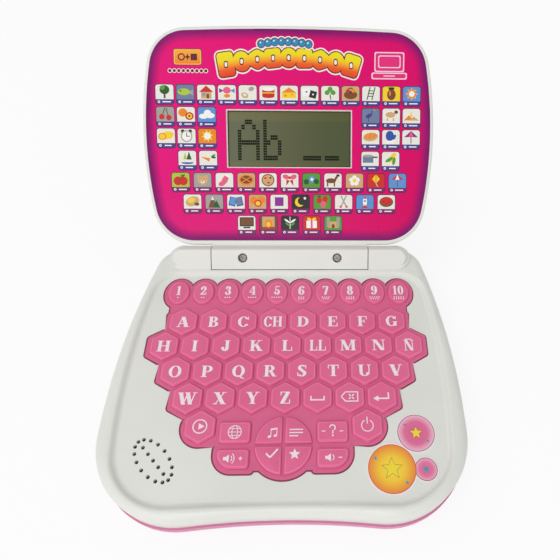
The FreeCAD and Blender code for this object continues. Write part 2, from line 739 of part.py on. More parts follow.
# bottom shell: tray with a lip at the front, battery bay, posts and screw tubes
tray = doc.addObject("PartDesign::Body", "tray_body")
tray_pad = pad(tray, "tray_pad", draw_outline(tray, "tray_outline", "bottom", "0", "0"), "parting_z")
round_edges(tray, "tray_round", tray_pad, 0, "bottom_round", "Fillet", any_edge)
pocket(tray, "tray_hollow", draw_outline(tray, "tray_inner", "bottom", "shell_wall", "parting_z"),
       "parting_z - floor_z")
add = [tray]
add.append(box("bay_block", "-bay_length / 2 - bay_wall", "bay_y - bay_width / 2 - bay_wall", "floor_z",
               "bay_length + 2 * bay_wall", "bay_width + 2 * bay_wall", "bay_block_height"))
post_spots = [("-board_post_x", "board_post_front_y"), ("board_post_x", "board_post_front_y"),
              ("-board_post_x", "board_post_rear_y"), ("board_post_x", "board_post_rear_y")]
for index, (x, y) in enumerate(post_spots):
    add.append(rod("board_post_%d" % index, x, y, "floor_z - shell_wall / 2", "board_post_radius",
                   "board_z - floor_z + shell_wall / 2"))
for index, (x, y) in enumerate(screw_spots):
    add.append(rod("tube_%d" % index, x, y, "floor_z - shell_wall / 2", "screw_tube_radius",
                   "parting_z - floor_z + shell_wall / 2"))
add.append(rod("door_boss", "door_screw_x", "bay_y", "floor_z - shell_wall / 2", "screw_tube_radius",
               "screw_length + screw_seat_z - floor_z"))
tray_whole = join("tray_whole", add)
take = [
    box("bay_hollow", "-bay_length / 2", "bay_y - bay_width / 2", "0", "bay_length", "bay_width",
        "bay_roof_z"),
    box("door_opening", "-door_length / 2 - door_gap", "bay_y - door_width / 2 - door_gap", "0",
        "door_length / 2 + door_screw_x + screw_tube_radius + 2 * door_gap",
        "door_width + 2 * door_gap", "floor_z"),
    rod("door_pilot", "door_screw_x", "bay_y", "0", "screw_radius + screw_fit",
        "shell_wall / 2 + screw_length + 1"),
]
for index, (x, y) in enumerate(screw_spots):
    take.append(rod("sink_%d" % index, x, y, "0", "screw_head_radius + screw_head_gap", "screw_seat_z"))
    take.append(rod("through_%d" % index, x, y, "0", "screw_radius + 2 * screw_fit", "parting_z + 1"))
keep(cut("tray_drilled", tray_whole, join("tray_tools", take)), "base_bottom_shell")

# battery door with its screw ear, flush with the underside
door_plate = box("door_plate", "-door_length / 2", "bay_y - door_width / 2", "0",
                 "door_length / 2 + door_screw_x + screw_tube_radius", "door_width", "shell_wall")
door_take = join("door_take", [
    rod("door_hole", "door_screw_x", "bay_y", "0", "screw_radius + 2 * screw_fit", "parting_z"),
    rod("door_sink", "door_screw_x", "bay_y", "0", "screw_head_radius + screw_head_gap",
        "shell_wall / 2"),
])
door_form = doc.addObject("Part::Fillet", "door_form")
door_form.Base = door_plate
door_edges = []
doc.recompute()
for index, edge in enumerate(door_plate.Shape.Edges, start=1):
    if edge.BoundBox.ZLength > 0.5:
        door_edges.append((index, val("door_corner"), val("door_corner")))
door_form.Edges = door_edges
keep(cut("door", door_form, door_take), "battery_door")

# three cells side by side, each with its nub, and the contact plates at both ends of the bay
cells = []
for index in range(3):
    y = "bay_y + %d * cell_pitch" % (index - 1)
    way = 1 if index % 2 == 0 else -1
    can = rod("can_%d" % index, "-cell_length / 2", y, "cell_z", "cell_radius", "cell_length", "x")
    start = "cell_length / 2" if way > 0 else "-cell_length / 2 - cell_nub"
    nub = rod("nub_%d" % index, start, y, "cell_z", "cell_nub_radius", "cell_nub", "x")
    cells.append(join("cell_%d" % index, [can, nub]))
keep(group("cells", cells), "aa_cells")
contacts = []
for way in (-1, 1):
    plate_x = "bay_length / 2 - contact_thick" if way > 0 else "-bay_length / 2"
    bits = [box("contact_plate_%d" % way, plate_x, "bay_y - bay_width / 2 + contact_thick",
                "cell_z - contact_height / 2", "contact_thick", "bay_width - 2 * contact_thick",
                "contact_height")]
    for index in range(3):
        y = "bay_y + %d * cell_pitch" % (index - 1)
        nub_here = (way > 0) == (index % 2 == 0)
        reach = "bay_length / 2 - contact_thick / 2 - cell_length / 2 - door_gap"
        if nub_here:
            reach += " - cell_nub"
        start = "bay_length / 2 - contact_thick / 2 - (%s)" % reach if way > 0 else \
            "-bay_length / 2 + contact_thick / 2"
        bits.append(rod("contact_pad_%d_%d" % (way, index), start, y, "cell_z", "contact_pad_radius",
                        reach, "x"))
    contacts.append(join("contact_%d" % way, bits))
keep(group("contacts", contacts), "battery_contacts")

# silicone sheet: a flange under the deck, a raised field in the opening and a hole for every key
sheet_flange = key_field("sheet_flange_field", "sheet_z", "opening_margin + sheet_flange", "sheet_thick")
sheet_field = key_field("sheet_raised_field", "sheet_z", "opening_margin - web_gap", "web_z - sheet_z", 1.2)
sheet_holes = key_holes("sheet_holes", "sheet_z - 1", "web_z - sheet_z + 2")
keep(cut("key_sheet", join("key_sheet_whole", [sheet_flange, sheet_field]), sheet_holes), "keypad_web")

# circuit board on its four posts
board_rear = box("board_rear", "-board_half_width", "board_step_y", "board_z", "2 * board_half_width",
                 "board_rear_y - board_step_y", "board_thick")
board_front = box("board_front", "-board_front_half_width", "board_front_y", "board_z",
                  "2 * board_front_half_width", "board_step_y - board_front_y", "board_thick")
keep(join("board", [board_rear, board_front]), "main_board")

# speaker against the deck, its frame under the leaf of holes
frame = rod("speaker_ring", "speaker_x", "speaker_y", "ceiling_z - speaker_frame", "speaker_radius",
            "speaker_frame")
magnet = rod("speaker_pot", "speaker_x", "speaker_y", "ceiling_z - speaker_frame - speaker_magnet",
             "speaker_magnet_radius", "speaker_magnet")
keep(join("speaker_whole", [frame, magnet]), "speaker")

# case screws from below, with the short one in the battery door
screws = []
for index, (x, y) in enumerate(screw_spots):
    head = rod("head_%d" % index, x, y, "screw_seat_z - screw_head", "screw_head_radius", "screw_head")
    shank = rod("shank_%d" % index, x, y, "screw_seat_z", "screw_radius", "screw_length")
    screws.append(join("screw_%d" % index, [head, shank]))
door_seat = "shell_wall / 2"
head = rod("door_head", "door_screw_x", "bay_y", "0", "screw_head_radius", "shell_wall / 2")
shank = rod("door_shank", "door_screw_x", "bay_y", door_seat, "screw_radius", "screw_length")
screws.append(join("door_screw", [head, shank]))
keep(group("screws", screws), "case_screws")

# hinge pins, held in the ears
pins = [
    rod("pin_right", "ear_start + pin_in_ear - pin_length", "hinge_y", "hinge_z", "pin_radius",
        "pin_length", "x"),
    rod("pin_left", "-ear_start - pin_in_ear", "hinge_y", "hinge_z", "pin_radius", "pin_length", "x"),
]
keep(group("pins", pins), "hinge_pins")

# die-cut sticker of three joined discs on the deck
discs = [
    rod("disc_main", "sticker_x", "sticker_y", "deck_z", "sticker_radius", "sticker_thick"),
    rod("disc_top", "sticker_top_x", "sticker_top_y", "deck_z", "sticker_top_radius", "sticker_thick"),
    rod("disc_side", "sticker_side_x", "sticker_side_y", "deck_z", "sticker_side_radius", "sticker_thick"),
]
keep(join("sticker", discs), "deck_sticker")

# lid front shell: sunk field for the printed panel, display window and the hinge knuckle
front = doc.addObject("PartDesign::Body", "lid_front_body")
front_pad = pad(front, "front_pad", draw_outline(front, "front_outline", "lid", "0", "-lid_split"),
                "lid_split + lid_face")
round_edges(front, "front_round", front_pad, val("lid_face"), "lid_front_round", "Fillet", any_edge)
pocket(front, "front_hollow", draw_outline(front, "front_inner", "lid", "lid_wall", "-lid_split"),
       "lid_split + plate_back", True)
pocket(front, "panel_seat_pocket", draw_outline(front, "panel_seat_outline", "panel", "0", "lid_face"),
       "panel_thick + panel_sink")
pocket(front, "window", draw_rectangle(front, "window_outline", "window_half_width", "window_low_y",
                                       "window_high_y", "lid_face"), "lid_wall + lid_face")
knuckle = rod("knuckle", "-knuckle_half", "0", "0", "hinge_radius", "2 * knuckle_half", "x")
neck = box("neck", "-knuckle_half", "0", "-lid_split", "2 * knuckle_half",
           "lid_root_y + lid_wall", "lid_split + lid_face")
lip = box("lip", "-knuckle_half", "-hinge_lip", "0", "2 * knuckle_half", "hinge_lip", "hinge_flat")
front_whole = join("front_whole", [front, knuckle, neck, lip])
take = [
    box("knuckle_rear", "-knuckle_half - 1", "-2 * hinge_radius", "-3 * hinge_radius",
        "2 * knuckle_half + 2", "4 * hinge_radius + lid_root_y", "3 * hinge_radius - lid_split"),
    box("knuckle_flat", "-knuckle_half - 1", "-2 * hinge_radius", "hinge_flat", "2 * knuckle_half + 2",
        "4 * hinge_radius", "2 * hinge_radius"),
    rod("bore_right", "knuckle_half - pin_length + pin_in_ear", "0", "0", "pin_radius + pin_fit",
        "pin_length", "x"),
    rod("bore_left", "-knuckle_half - pin_in_ear", "0", "0", "pin_radius + pin_fit", "pin_length", "x"),
]
for way in (-1, 1):
    spot = "%d * knuckle_screw_x" % way
    take.append(rod("well_%d" % way, spot, "0", "hinge_flat - knuckle_screw_depth",
                    "screw_head_radius + screw_head_gap", "2 * hinge_radius"))
    take.append(rod("clear_%d" % way, spot, "0", "-2 * hinge_radius", "screw_radius + 2 * screw_fit",
                    "3 * hinge_radius"))
lay(keep(cut("front_drilled", front_whole, join("front_tools", take)), "lid_front_shell"))

# lid back shell with the rear of the knuckle
back = doc.addObject("PartDesign::Body", "lid_back_body")
back_pad = pad(back, "back_pad", draw_outline(back, "back_outline", "lid", "0", "-lid_back"),
               "lid_back - lid_split")
round_edges(back, "back_round", back_pad, -val("lid_back"), "lid_back_round", "Fillet", any_edge)
pocket(back, "back_hollow", draw_outline(back, "back_inner", "lid", "lid_wall", "-lid_split"),
       "lid_back - lid_split - lid_wall")
heel = rod("heel", "-knuckle_half", "0", "0", "hinge_radius", "2 * knuckle_half", "x")
heel_top = box("heel_top", "-knuckle_half - 1", "-2 * hinge_radius", "-lid_split",
               "2 * knuckle_half + 2", "4 * hinge_radius", "4 * hinge_radius")
heel_neck = box("heel_neck", "-knuckle_half", "0", "-hinge_radius", "2 * knuckle_half",
                "lid_root_y + lid_wall", "hinge_radius - lid_split")
back_whole = join("back_whole", [back, cut("heel_cut", heel, heel_top), heel_neck])
take = []
for way in (-1, 1):
    take.append(rod("heel_pilot_%d" % way, "%d * knuckle_screw_x" % way, "0",
                    "hinge_flat - knuckle_screw_depth - knuckle_screw_length",
                    "screw_radius + screw_fit", "knuckle_screw_length"))
lay(keep(cut("back_drilled", back_whole, join("back_tools", take)), "lid_back_shell"))

# printed panel in its seat, with the display's window
panel = doc.addObject("PartDesign::Body", "panel_body")
pad(panel, "panel_pad", draw_outline(panel, "panel_outline", "panel", "panel_fit", "panel_seat"),
    "panel_thick")
panel_hole = draw_rectangle(panel, "panel_window_outline", "window_half_width + window_bevel",
                            "window_low_y - window_bevel", "window_high_y + window_bevel", "lid_face")
pocket(panel, "panel_window", panel_hole, "2 * panel_thick")
lay(keep(panel, "front_panel"))

# display glass behind the window, with its board behind that
glass = doc.addObject("PartDesign::Body", "glass_body")
pad(glass, "glass_pad", draw_rectangle(glass, "glass_outline", "window_half_width + glass_lap",
                                       "window_low_y - glass_lap", "window_high_y + glass_lap",
                                       "plate_back - glass_thick"), "glass_thick")
lay(keep(glass, "lcd_panel"))
driver = doc.addObject("PartDesign::Body", "driver_body")
pad(driver, "driver_pad", draw_rectangle(driver, "driver_outline",
                                         "window_half_width + glass_lap + glass_board_lap",
                                         "window_low_y - glass_lap - glass_board_lap",
                                         "window_high_y + glass_lap + glass_board_lap",
                                         "plate_back - glass_thick - glass_board_thick"),
    "glass_board_thick")
lay(keep(driver, "lcd_board"))

# the two screws in the knuckle
screws = []
for way in (-1, 1):
    spot = "%d * knuckle_screw_x" % way
    seat = "hinge_flat - knuckle_screw_depth"
    head = rod("lid_head_%d" % way, spot, "0", seat, "screw_head_radius", "screw_head")
    shank = rod("lid_shank_%d" % way, spot, "0", seat + " - knuckle_screw_length", "screw_radius",
                "knuckle_screw_length")
    screws.append(join("lid_screw_%d" % way, [head, shank]))
lay(keep(group("lid_screw_pair", screws), "lid_screws"))


def finish_key(name, base, corner, label):
    # rounded upright corners, then a bevel round the top face
    doc.recompute()
    form = base
    if corner is not None:
        form = rounded(name + "_round", base, val(corner))
        doc.recompute()
    bevel = doc.addObject("Part::Chamfer", name + "_bevel")
    bevel.Base = form
    picked = []
    for index, edge in enumerate(form.Shape.Edges, start=1):
        if edge.BoundBox.ZMin > form.Shape.BoundBox.ZMax - 1e-4:
            picked.append((index, val("key_bevel"), val("key_bevel")))
    bevel.Edges = picked
    return keep(bevel, label) if label else bevel


for key, x, y in hex_keys:
    finish_key(key, hexagon(key + "_body", x, y, "sheet_z", "0", "key_height"), "hex_corner", key)
number_bodies = []
for index, x in enumerate(number_places):
    name = "number_%d" % (index + 1)
    number_bodies.append(finish_key(name, oval(name + "_body", x, "number_y", "sheet_z", "0", "key_height"),
                                    None, None))
keep(group("numbers", number_bodies), "number_keys")
for key, side, y, depth, arc in side_keys:
    finish_key(key, tablet(key + "_body", side, y, "sheet_z", depth, arc, "0", "key_height"),
               "side_key_corner", key)
for key, across, along in menu_keys:
    finish_key(key, quarter(key + "_quarter", across, along, "sheet_z", "0", "key_height"), None, key)

doc.recompute()
for item in doc.Objects:
    if "Invalid" in item.State or "Error" in item.State:
        raise RuntimeError("failed: " + item.Name)
for item in parts:
    if item.Shape.isNull() or not item.Shape.isValid():
        raise RuntimeError("no valid shape: " + item.Label)

os.makedirs("parts", exist_ok=True)
for item in parts:
    item.Shape.exportStep("parts/%s.step" % item.Label)
    print("%-18s solids %2d volume %9.1f" % (item.Label, len(item.Shape.Solids), item.Shape.Volume))
print(len(parts), "nodes")
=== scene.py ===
import math

import bmesh
import bpy
from mathutils import Matrix, Vector
from mathutils.kdtree import KDTree


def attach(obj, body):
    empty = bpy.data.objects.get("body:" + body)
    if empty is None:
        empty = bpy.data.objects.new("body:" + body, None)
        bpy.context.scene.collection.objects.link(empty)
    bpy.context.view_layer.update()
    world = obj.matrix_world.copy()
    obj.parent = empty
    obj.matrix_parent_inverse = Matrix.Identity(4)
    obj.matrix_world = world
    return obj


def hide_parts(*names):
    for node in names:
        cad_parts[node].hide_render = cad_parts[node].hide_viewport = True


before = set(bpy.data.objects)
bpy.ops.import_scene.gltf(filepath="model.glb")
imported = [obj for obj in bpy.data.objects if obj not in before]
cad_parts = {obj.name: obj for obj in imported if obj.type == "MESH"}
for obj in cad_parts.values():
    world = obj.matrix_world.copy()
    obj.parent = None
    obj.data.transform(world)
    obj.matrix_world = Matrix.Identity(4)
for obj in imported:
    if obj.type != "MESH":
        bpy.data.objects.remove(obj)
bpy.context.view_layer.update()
scene = bpy.context.scene
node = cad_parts

# Drawings are in millimetres: on the base as they lie, on the lid in its own plane,
# with x across and y up from the hinge. Shaders and the meshes of nodes are in metres.
MM = 0.001
BASE = Matrix.Scale(MM, 4)
AS_IT_LIES = Matrix.Identity(4)
HINGE = Vector((0, 0.0884, 0.0313))
LID_TURN = math.radians(41)
LID = Matrix.Translation(HINGE) @ Matrix.Rotation(LID_TURN, 4, "X") @ Matrix.Scale(MM, 4)
PANEL_TOP = 0.2
KEY_TOP = 30.0
DECK_TOP = 28.0
WEB_TOP = 27.9
SHEET_TOP = 28.6
STICKER_THICK = 0.2
INK_RISE = 0.012
INK_FILM = 0.006
LEGEND_FILM = 0.01
SEAM = 0.01


# finishes

def paint(red, green, blue):
    """A colour as the eye reads it, 0 to 255, for a shader."""
    def linear(value):
        value /= 255
        return value / 12.92 if value <= 0.04045 else ((value + 0.055) / 1.055) ** 2.4
    return linear(red), linear(green), linear(blue), 1.0


def add(tree, kind, output, inputs, **settings):
    """Adds a shader node, each input linked to a socket or set to a value, and gives one of its outputs."""
    made = tree.nodes.new("ShaderNode" + kind)
    for name, value in settings.items():
        setattr(made, name, value)
    for name, value in inputs.items():
        if isinstance(value, bpy.types.NodeSocket):
            tree.links.new(value, made.inputs[name])
        else:
            made.inputs[name].default_value = value
    return made.outputs[output]


def new_finish(name):
    """A bare material, its shader tree, and the place on the part for its patterns."""
    finish = bpy.data.materials.new(name)
    finish.use_nodes = True
    tree = finish.node_tree
    tree.nodes.clear()
    return finish, tree, add(tree, "TexCoord", "Object", {})


def surfaced(finish, inputs):
    """Gives a bare material its surface."""
    tree = finish.node_tree
    surface = add(tree, "BsdfPrincipled", "BSDF", inputs)
    tree.links.new(surface, tree.nodes.new("ShaderNodeOutputMaterial").inputs["Surface"])
    return finish


def on_lid(tree, place):
    """The same place measured in the lid's own plane."""
    return add(tree, "Mapping", "Vector",
               {"Location": HINGE, "Rotation": (LID_TURN, 0, 0), "Vector": place}, vector_type="TEXTURE")


def one_of(tree, place, axis):
    return add(tree, "SeparateXYZ", axis, {"Vector": place})


def grain(tree, place, size, detail=2.0):
    """Noise with specks of about this size in metres."""
    return add(tree, "TexNoise", "Fac", {"Scale": 1 / size, "Detail": detail, "Vector": place})


def between(tree, value, start, end, low, high):
    return add(tree, "MapRange", "Result",
               {"Value": value, "From Min": start, "From Max": end, "To Min": low, "To Max": high})


def shades(tree, value, *stops):
    """Colours along a value from 0 to 1; each stop is a value and a colour."""
    ramp = tree.nodes.new("ShaderNodeValToRGB")
    while len(ramp.color_ramp.elements) < len(stops):
        ramp.color_ramp.elements.new(0.5)
    for element, (where, colour) in zip(ramp.color_ramp.elements, stops):
        element.position = where
        element.color = colour
    tree.links.new(value, ramp.inputs["Fac"])
    return ramp.outputs["Color"]


def graded(tree, value, stops):
    """Colours along a value in metres; each stop is a place in millimetres and a colour."""
    start, end = stops[0][0], stops[-1][0]
    along = between(tree, value, start * MM, end * MM, 0.0, 1.0)
    return shades(tree, along, *[((where - start) / (end - start), colour) for where, colour in stops])


def mottled(tree, place, size, detail, deep, tone):
    return shades(tree, grain(tree, place, size, detail), (0.3, deep), (0.7, tone))


def uneven(tree, place, size, low, high, detail=3):
    """A value that wanders between two others in patches of about this size."""
    return between(tree, grain(tree, place, size, detail), 0.3, 0.7, low, high)


def blended(tree, share, first, second):
    return add(tree, "Mix", 2, {0: share, 6: first, 7: second}, data_type="RGBA")


def reckoned(tree, operation, *values):
    """The result of an operation on values, each a socket or a number."""
    return add(tree, "Math", 0, dict(enumerate(values)), operation=operation)


def relief(tree, height, depth):
    return add(tree, "Bump", "Normal", {"Strength": 1.0, "Distance": depth, "Height": height})


def deeper(tone, share):
    return tuple(share * channel for channel in tone[:3]) + (1.0,)


def moulded(name, tone, deep, roughness, speck, depth, coat=0.0, milky=0.0):
    """Moulded plastic or rubber: faint mottling, uneven gloss and the grain of its mould."""
    finish, tree, place = new_finish(name)
    return surfaced(finish, {
        "Base Color": mottled(tree, place, 0.045, 3, deep, tone),
        "Roughness": uneven(tree, place, 0.012, roughness - 0.05, roughness + 0.06, 4),
        "Normal": relief(tree, grain(tree, place, speck), depth),
        "Subsurface Weight": milky,
        "Subsurface Radius": (1.0, 0.35, 0.5),
        "Subsurface Scale": 0.002,
        "IOR": 1.5,
        "Coat Weight": coat,
    })


def printed(name, tone, deep=None, gloss=0.28, shine=0.3):
    """Ink under a clear film, with the slight unevenness of a screen print."""
    finish, tree, place = new_finish(name)
    deep = deep or deeper(tone, 0.94)
    return surfaced(finish, {
        "Base Color": shades(tree, grain(tree, place, 0.0011, 3), (0.32, deep), (0.62, tone)),
        "Roughness": uneven(tree, place, 0.02, gloss - 0.04, gloss + 0.06),
        "Specular IOR Level": shine,
    })


def bow_print(name, bend, stops, gloss=0.3):
    """Ink of the lid that runs from one colour to the next up a bow, or straight up where bend is 0."""
    finish, tree, place = new_finish(name)
    there = on_lid(tree, place)
    across = one_of(tree, there, "X")
    bowed = reckoned(tree, "MULTIPLY", across, across)
    level = reckoned(tree, "MULTIPLY_ADD", bowed, bend / MM, one_of(tree, there, "Y"))
    return surfaced(finish, {
        "Base Color": graded(tree, level, stops),
        "Roughness": uneven(tree, place, 0.02, gloss - 0.04, gloss + 0.06),
        "Specular IOR Level": 0.3,
    })


def round_print(name, x, y, stops):
    """Ink that changes outwards from a centre on the deck; each stop is a radius and a colour."""
    finish, tree, place = new_finish(name)
    centred = add(tree, "Mapping", "Vector",
                  {"Location": (-x * MM, -y * MM, -DECK_TOP * MM), "Vector": place})
    reach = add(tree, "VectorMath", "Value", {0: centred}, operation="LENGTH")
    return surfaced(finish, {
        "Base Color": graded(tree, reach, stops),
        "Roughness": uneven(tree, place, 0.01, 0.26, 0.36),
    })


def turned_steel(name, tone, deep, roughness):
    """Plated steel with fine tool marks and dull patches."""
    finish, tree, place = new_finish(name)
    return surfaced(finish, {
        "Base Color": mottled(tree, place, 0.003, 4, deep, tone),
        "Metallic": 1.0,
        "Roughness": uneven(tree, place, 0.0015, roughness - 0.08, roughness + 0.1),
        "Normal": relief(tree, grain(tree, place, 0.0004), 0.00002),
    })


def circuit_sheet(name, resist, copper):
    """Solder resist with faint tracks below it."""
    finish, tree, place = new_finish(name)
    tracks = add(tree, "TexBrick", "Color", {
        "Scale": 120, "Mortar Size": 0.04, "Color1": resist, "Color2": deeper(resist, 0.85),
        "Mortar": copper, "Vector": place,
    })
    return surfaced(finish, {
        "Base Color": tracks,
        "Roughness": uneven(tree, place, 0.01, 0.35, 0.5),
        "Normal": relief(tree, tracks.node.outputs["Fac"], 0.00003),
    })


white_plastic = moulded("white_plastic", paint(231, 233, 226), paint(226, 228, 221), 0.36, 0.0006, 0.000008)
pink_plastic = moulded("pink_plastic", paint(216, 128, 168), paint(213, 125, 165), 0.42, 0.0005, 0.00002)
RUBBER_GRAIN = (0.0004, 0.00001, 0.0, 0.35)
silicone = moulded("silicone_rubber", paint(232, 106, 152), paint(227, 99, 146), 0.5, *RUBBER_GRAIN)
web_rubber = moulded("web_rubber", paint(228, 104, 149), paint(222, 97, 143), 0.55, *RUBBER_GRAIN)
# a lighter copy of the key rubber for a thin ring on each key top: a painted highlight along the key's edge
key_painted_highlight = moulded("key_painted_highlight", paint(240, 136, 176), paint(236, 129, 170), 0.5, *RUBBER_GRAIN)
# dark rubber for the outer bands of the sheet's lip: a painted shadow along the edge of the key field
web_painted_shadow = moulded("web_painted_shadow", paint(126, 24, 64), paint(116, 20, 58), 0.55, 0.0004, 0.00001)
legend_ink = printed("legend_ink", paint(250, 240, 246), paint(243, 222, 233), 0.45)
steel = turned_steel("plated_steel", paint(196, 194, 190), paint(150, 148, 143), 0.32)
# steel for the screws, darker than the plated steel: partly a duller plating, partly painted shade of the
# hollows round the screws
dull_shaded_steel = turned_steel("screw_steel_dull_shaded", paint(150, 145, 138), paint(112, 107, 101), 0.36)
board = circuit_sheet("green_board", paint(30, 92, 52), paint(70, 128, 76))
speaker_black = moulded("speaker_black", paint(44, 44, 46), paint(34, 34, 36), 0.55, 0.0005, 0.00003)
cell_wrap = moulded("cell_wrap", paint(70, 74, 86), paint(54, 58, 70), 0.3, 0.0008, 0.00001, 0.3)

node_finish = {
    "base_top_shell": white_plastic, "lid_front_shell": white_plastic,
    "base_bottom_shell": pink_plastic, "lid_back_shell": pink_plastic, "battery_door": pink_plastic,
    "main_board": board, "lcd_board": board, "speaker": speaker_black, "aa_cells": cell_wrap,
    "battery_contacts": steel, "case_screws": steel, "hinge_pins": steel, "lid_screws": steel,
    "keypad_web": web_rubber, "number_keys": silicone,
}
for name, part in node.items():
    if name.startswith("key_"):
        node_finish[name] = silicone
    for place in part.material_slots:
        if name in node_finish:
            place.material = node_finish[name]


# drawing

def piece(name, bm, finishes, body, place, thick=0.0, replaced=()):
    """Makes a drawing a piece of the part, laid in place on its body."""
    bmesh.ops.transform(bm, matrix=place, verts=bm.verts)
    mesh = bpy.data.meshes.new(name)
    bm.to_mesh(mesh)
    bm.free()
    made = bpy.data.objects.new(name, mesh)
    scene.collection.objects.link(made)
    for finish in finishes:
        mesh.materials.append(finish)
    if thick:
        film = made.modifiers.new("film", "SOLIDIFY")
        film.thickness = thick * MM
        film.offset = -1.0
    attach(made, body)
    if replaced:
        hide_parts(*replaced)
    return made


def inked(corners, ink):
    faces = {face for corner in corners for face in corner.link_faces}
    for face in faces:
        face.material_index = ink
        face.normal_update()
        if face.normal.z < 0:
            face.normal_flip()
    return faces


def at(x, y, z, turn=0.0, wide=1.0, deep=1.0):
    return (Matrix.Translation((x, y, z)) @ Matrix.Rotation(math.radians(turn), 4, "Z")
            @ Matrix.Diagonal((wide, deep, 1, 1)))


def square(bm, place):
    """The corners of a flat square of side 1, laid in place."""
    return bmesh.ops.create_grid(bm, x_segments=1, y_segments=1, size=0.5, matrix=place)["verts"]


def spot(bm, x, y, z, wide, deep, ink=0, sides=24, turn=0.0):
    """A flat disc, oval or even-sided shape."""
    made = bmesh.ops.create_circle(bm, cap_ends=True, segments=sides, radius=0.5,
                                   matrix=at(x, y, z, turn, wide, deep))
    return inked(made["verts"], ink)


def slab(bm, x, y, z, wide, deep, ink=0, turn=0.0):
    """A flat rectangle."""
    return inked(square(bm, at(x, y, z, turn, wide, deep)), ink)


def stroke(bm, x0, y0, x1, y1, wide, z, ink=0):
    """A flat stroke with level ends, upright or leaning."""
    lean = Matrix(((wide, x1 - x0, 0, (x0 + x1) / 2), (0, y1 - y0, 0, (y0 + y1) / 2),
                   (0, 0, 1, z), (0, 0, 0, 1)))
    return inked(square(bm, lean), ink)


def ring(bm, x, y, z, rx, ry, tx, ty, start=0, end=360, ink=0, sides=40):
    """A flat ring, tx wide at its sides and ty at its top, or its arc from start to end degrees."""
    def circle(wide, deep):
        place = at(x, y, z, 0, wide, deep)
        return bmesh.ops.create_circle(bm, segments=sides, radius=1, matrix=place)["verts"]
    outer = circle(rx, ry)
    inner = circle(rx - tx, ry - ty)
    edges = dict.fromkeys(edge for corner in outer + inner for edge in corner.link_edges)
    bmesh.ops.bridge_loops(bm, edges=list(edges))
    faces = inked(outer, ink)
    if end - start < 360:
        def angle(face):
            middle = face.calc_center_median()
            return (math.degrees(math.atan2((middle.y - y) / ry, (middle.x - x) / rx)) - start) % 360
        spare = [face for face in faces if angle(face) > end - start]
        bmesh.ops.delete(bm, geom=spare, context="FACES")


def softened(bm, corners, radius, segments, ink):
    rounded = bmesh.ops.bevel(bm, geom=corners, offset=radius, segments=segments, profile=0.5,
                              affect="VERTICES", material=-1)
    return inked(rounded["verts"], ink)


def tablet(bm, x, y, z, wide, deep, corner, ink=0, segments=5, turn=0.0):
    """A flat rectangle with rounded corners."""
    return softened(bm, square(bm, at(x, y, z, turn, wide, deep)), corner, segments, ink)


def chip(bm, x, y, z, across, sides, soft, ink=0, turn=0.0):
    """A flat even-sided shape with soft corners."""
    made = bmesh.ops.create_circle(bm, cap_ends=True, segments=sides, radius=0.5,
                                   matrix=at(x, y, z, turn, across, across))
    return softened(bm, made["verts"], soft, 4, ink)


def star(bm, x, y, z, across, ink=0, points=5, waist=0.45, turn=0.0):
    made = bmesh.ops.create_circle(bm, cap_ends=True, segments=2 * points, radius=0.5,
                                   matrix=at(x, y, z, turn, across, across))
    centre = Vector((x, y, z))
    for corner in made["verts"][1::2]:
        corner.co = centre + (corner.co - centre) * waist
    return inked(made["verts"], ink)


def added(bm, before):
    """The corners drawn since."""
    return [corner for corner in bm.verts if corner not in before]


def halfway(values):
    return (min(values) + max(values)) / 2


def add_to(bm, fresh, place):
    """Adds what was drawn apart to a drawing, laid in place."""
    fresh.transform(place)
    mesh = bpy.data.meshes.new("fresh")
    fresh.to_mesh(mesh)
    fresh.free()
    bm.from_mesh(mesh)
    bpy.data.meshes.remove(mesh)


def corners_in(made):
    return [item for item in made if isinstance(item, bmesh.types.BMVert)]


def copy_of(name):
    """A copy of a node's mesh with its seams closed."""
    bm = bmesh.new()
    bm.from_mesh(node[name].data)
    bmesh.ops.remove_doubles(bm, verts=bm.verts, dist=SEAM * MM)
    bm.normal_update()
    return bm


def level_faces(bm, height):
    """The faces that lie level and look up at this height in millimetres."""
    return [face for face in bm.faces
            if face.normal.z > 0.99 and abs(face.calc_center_median().z - height * MM) < 0.00005]


# letters and digits

THICK, HAIR, FOOT, SERIF = 0.235, 0.07, 0.06, 0.42
LETTER_GAP = 0.06
STROKE_STEP = 0.0005

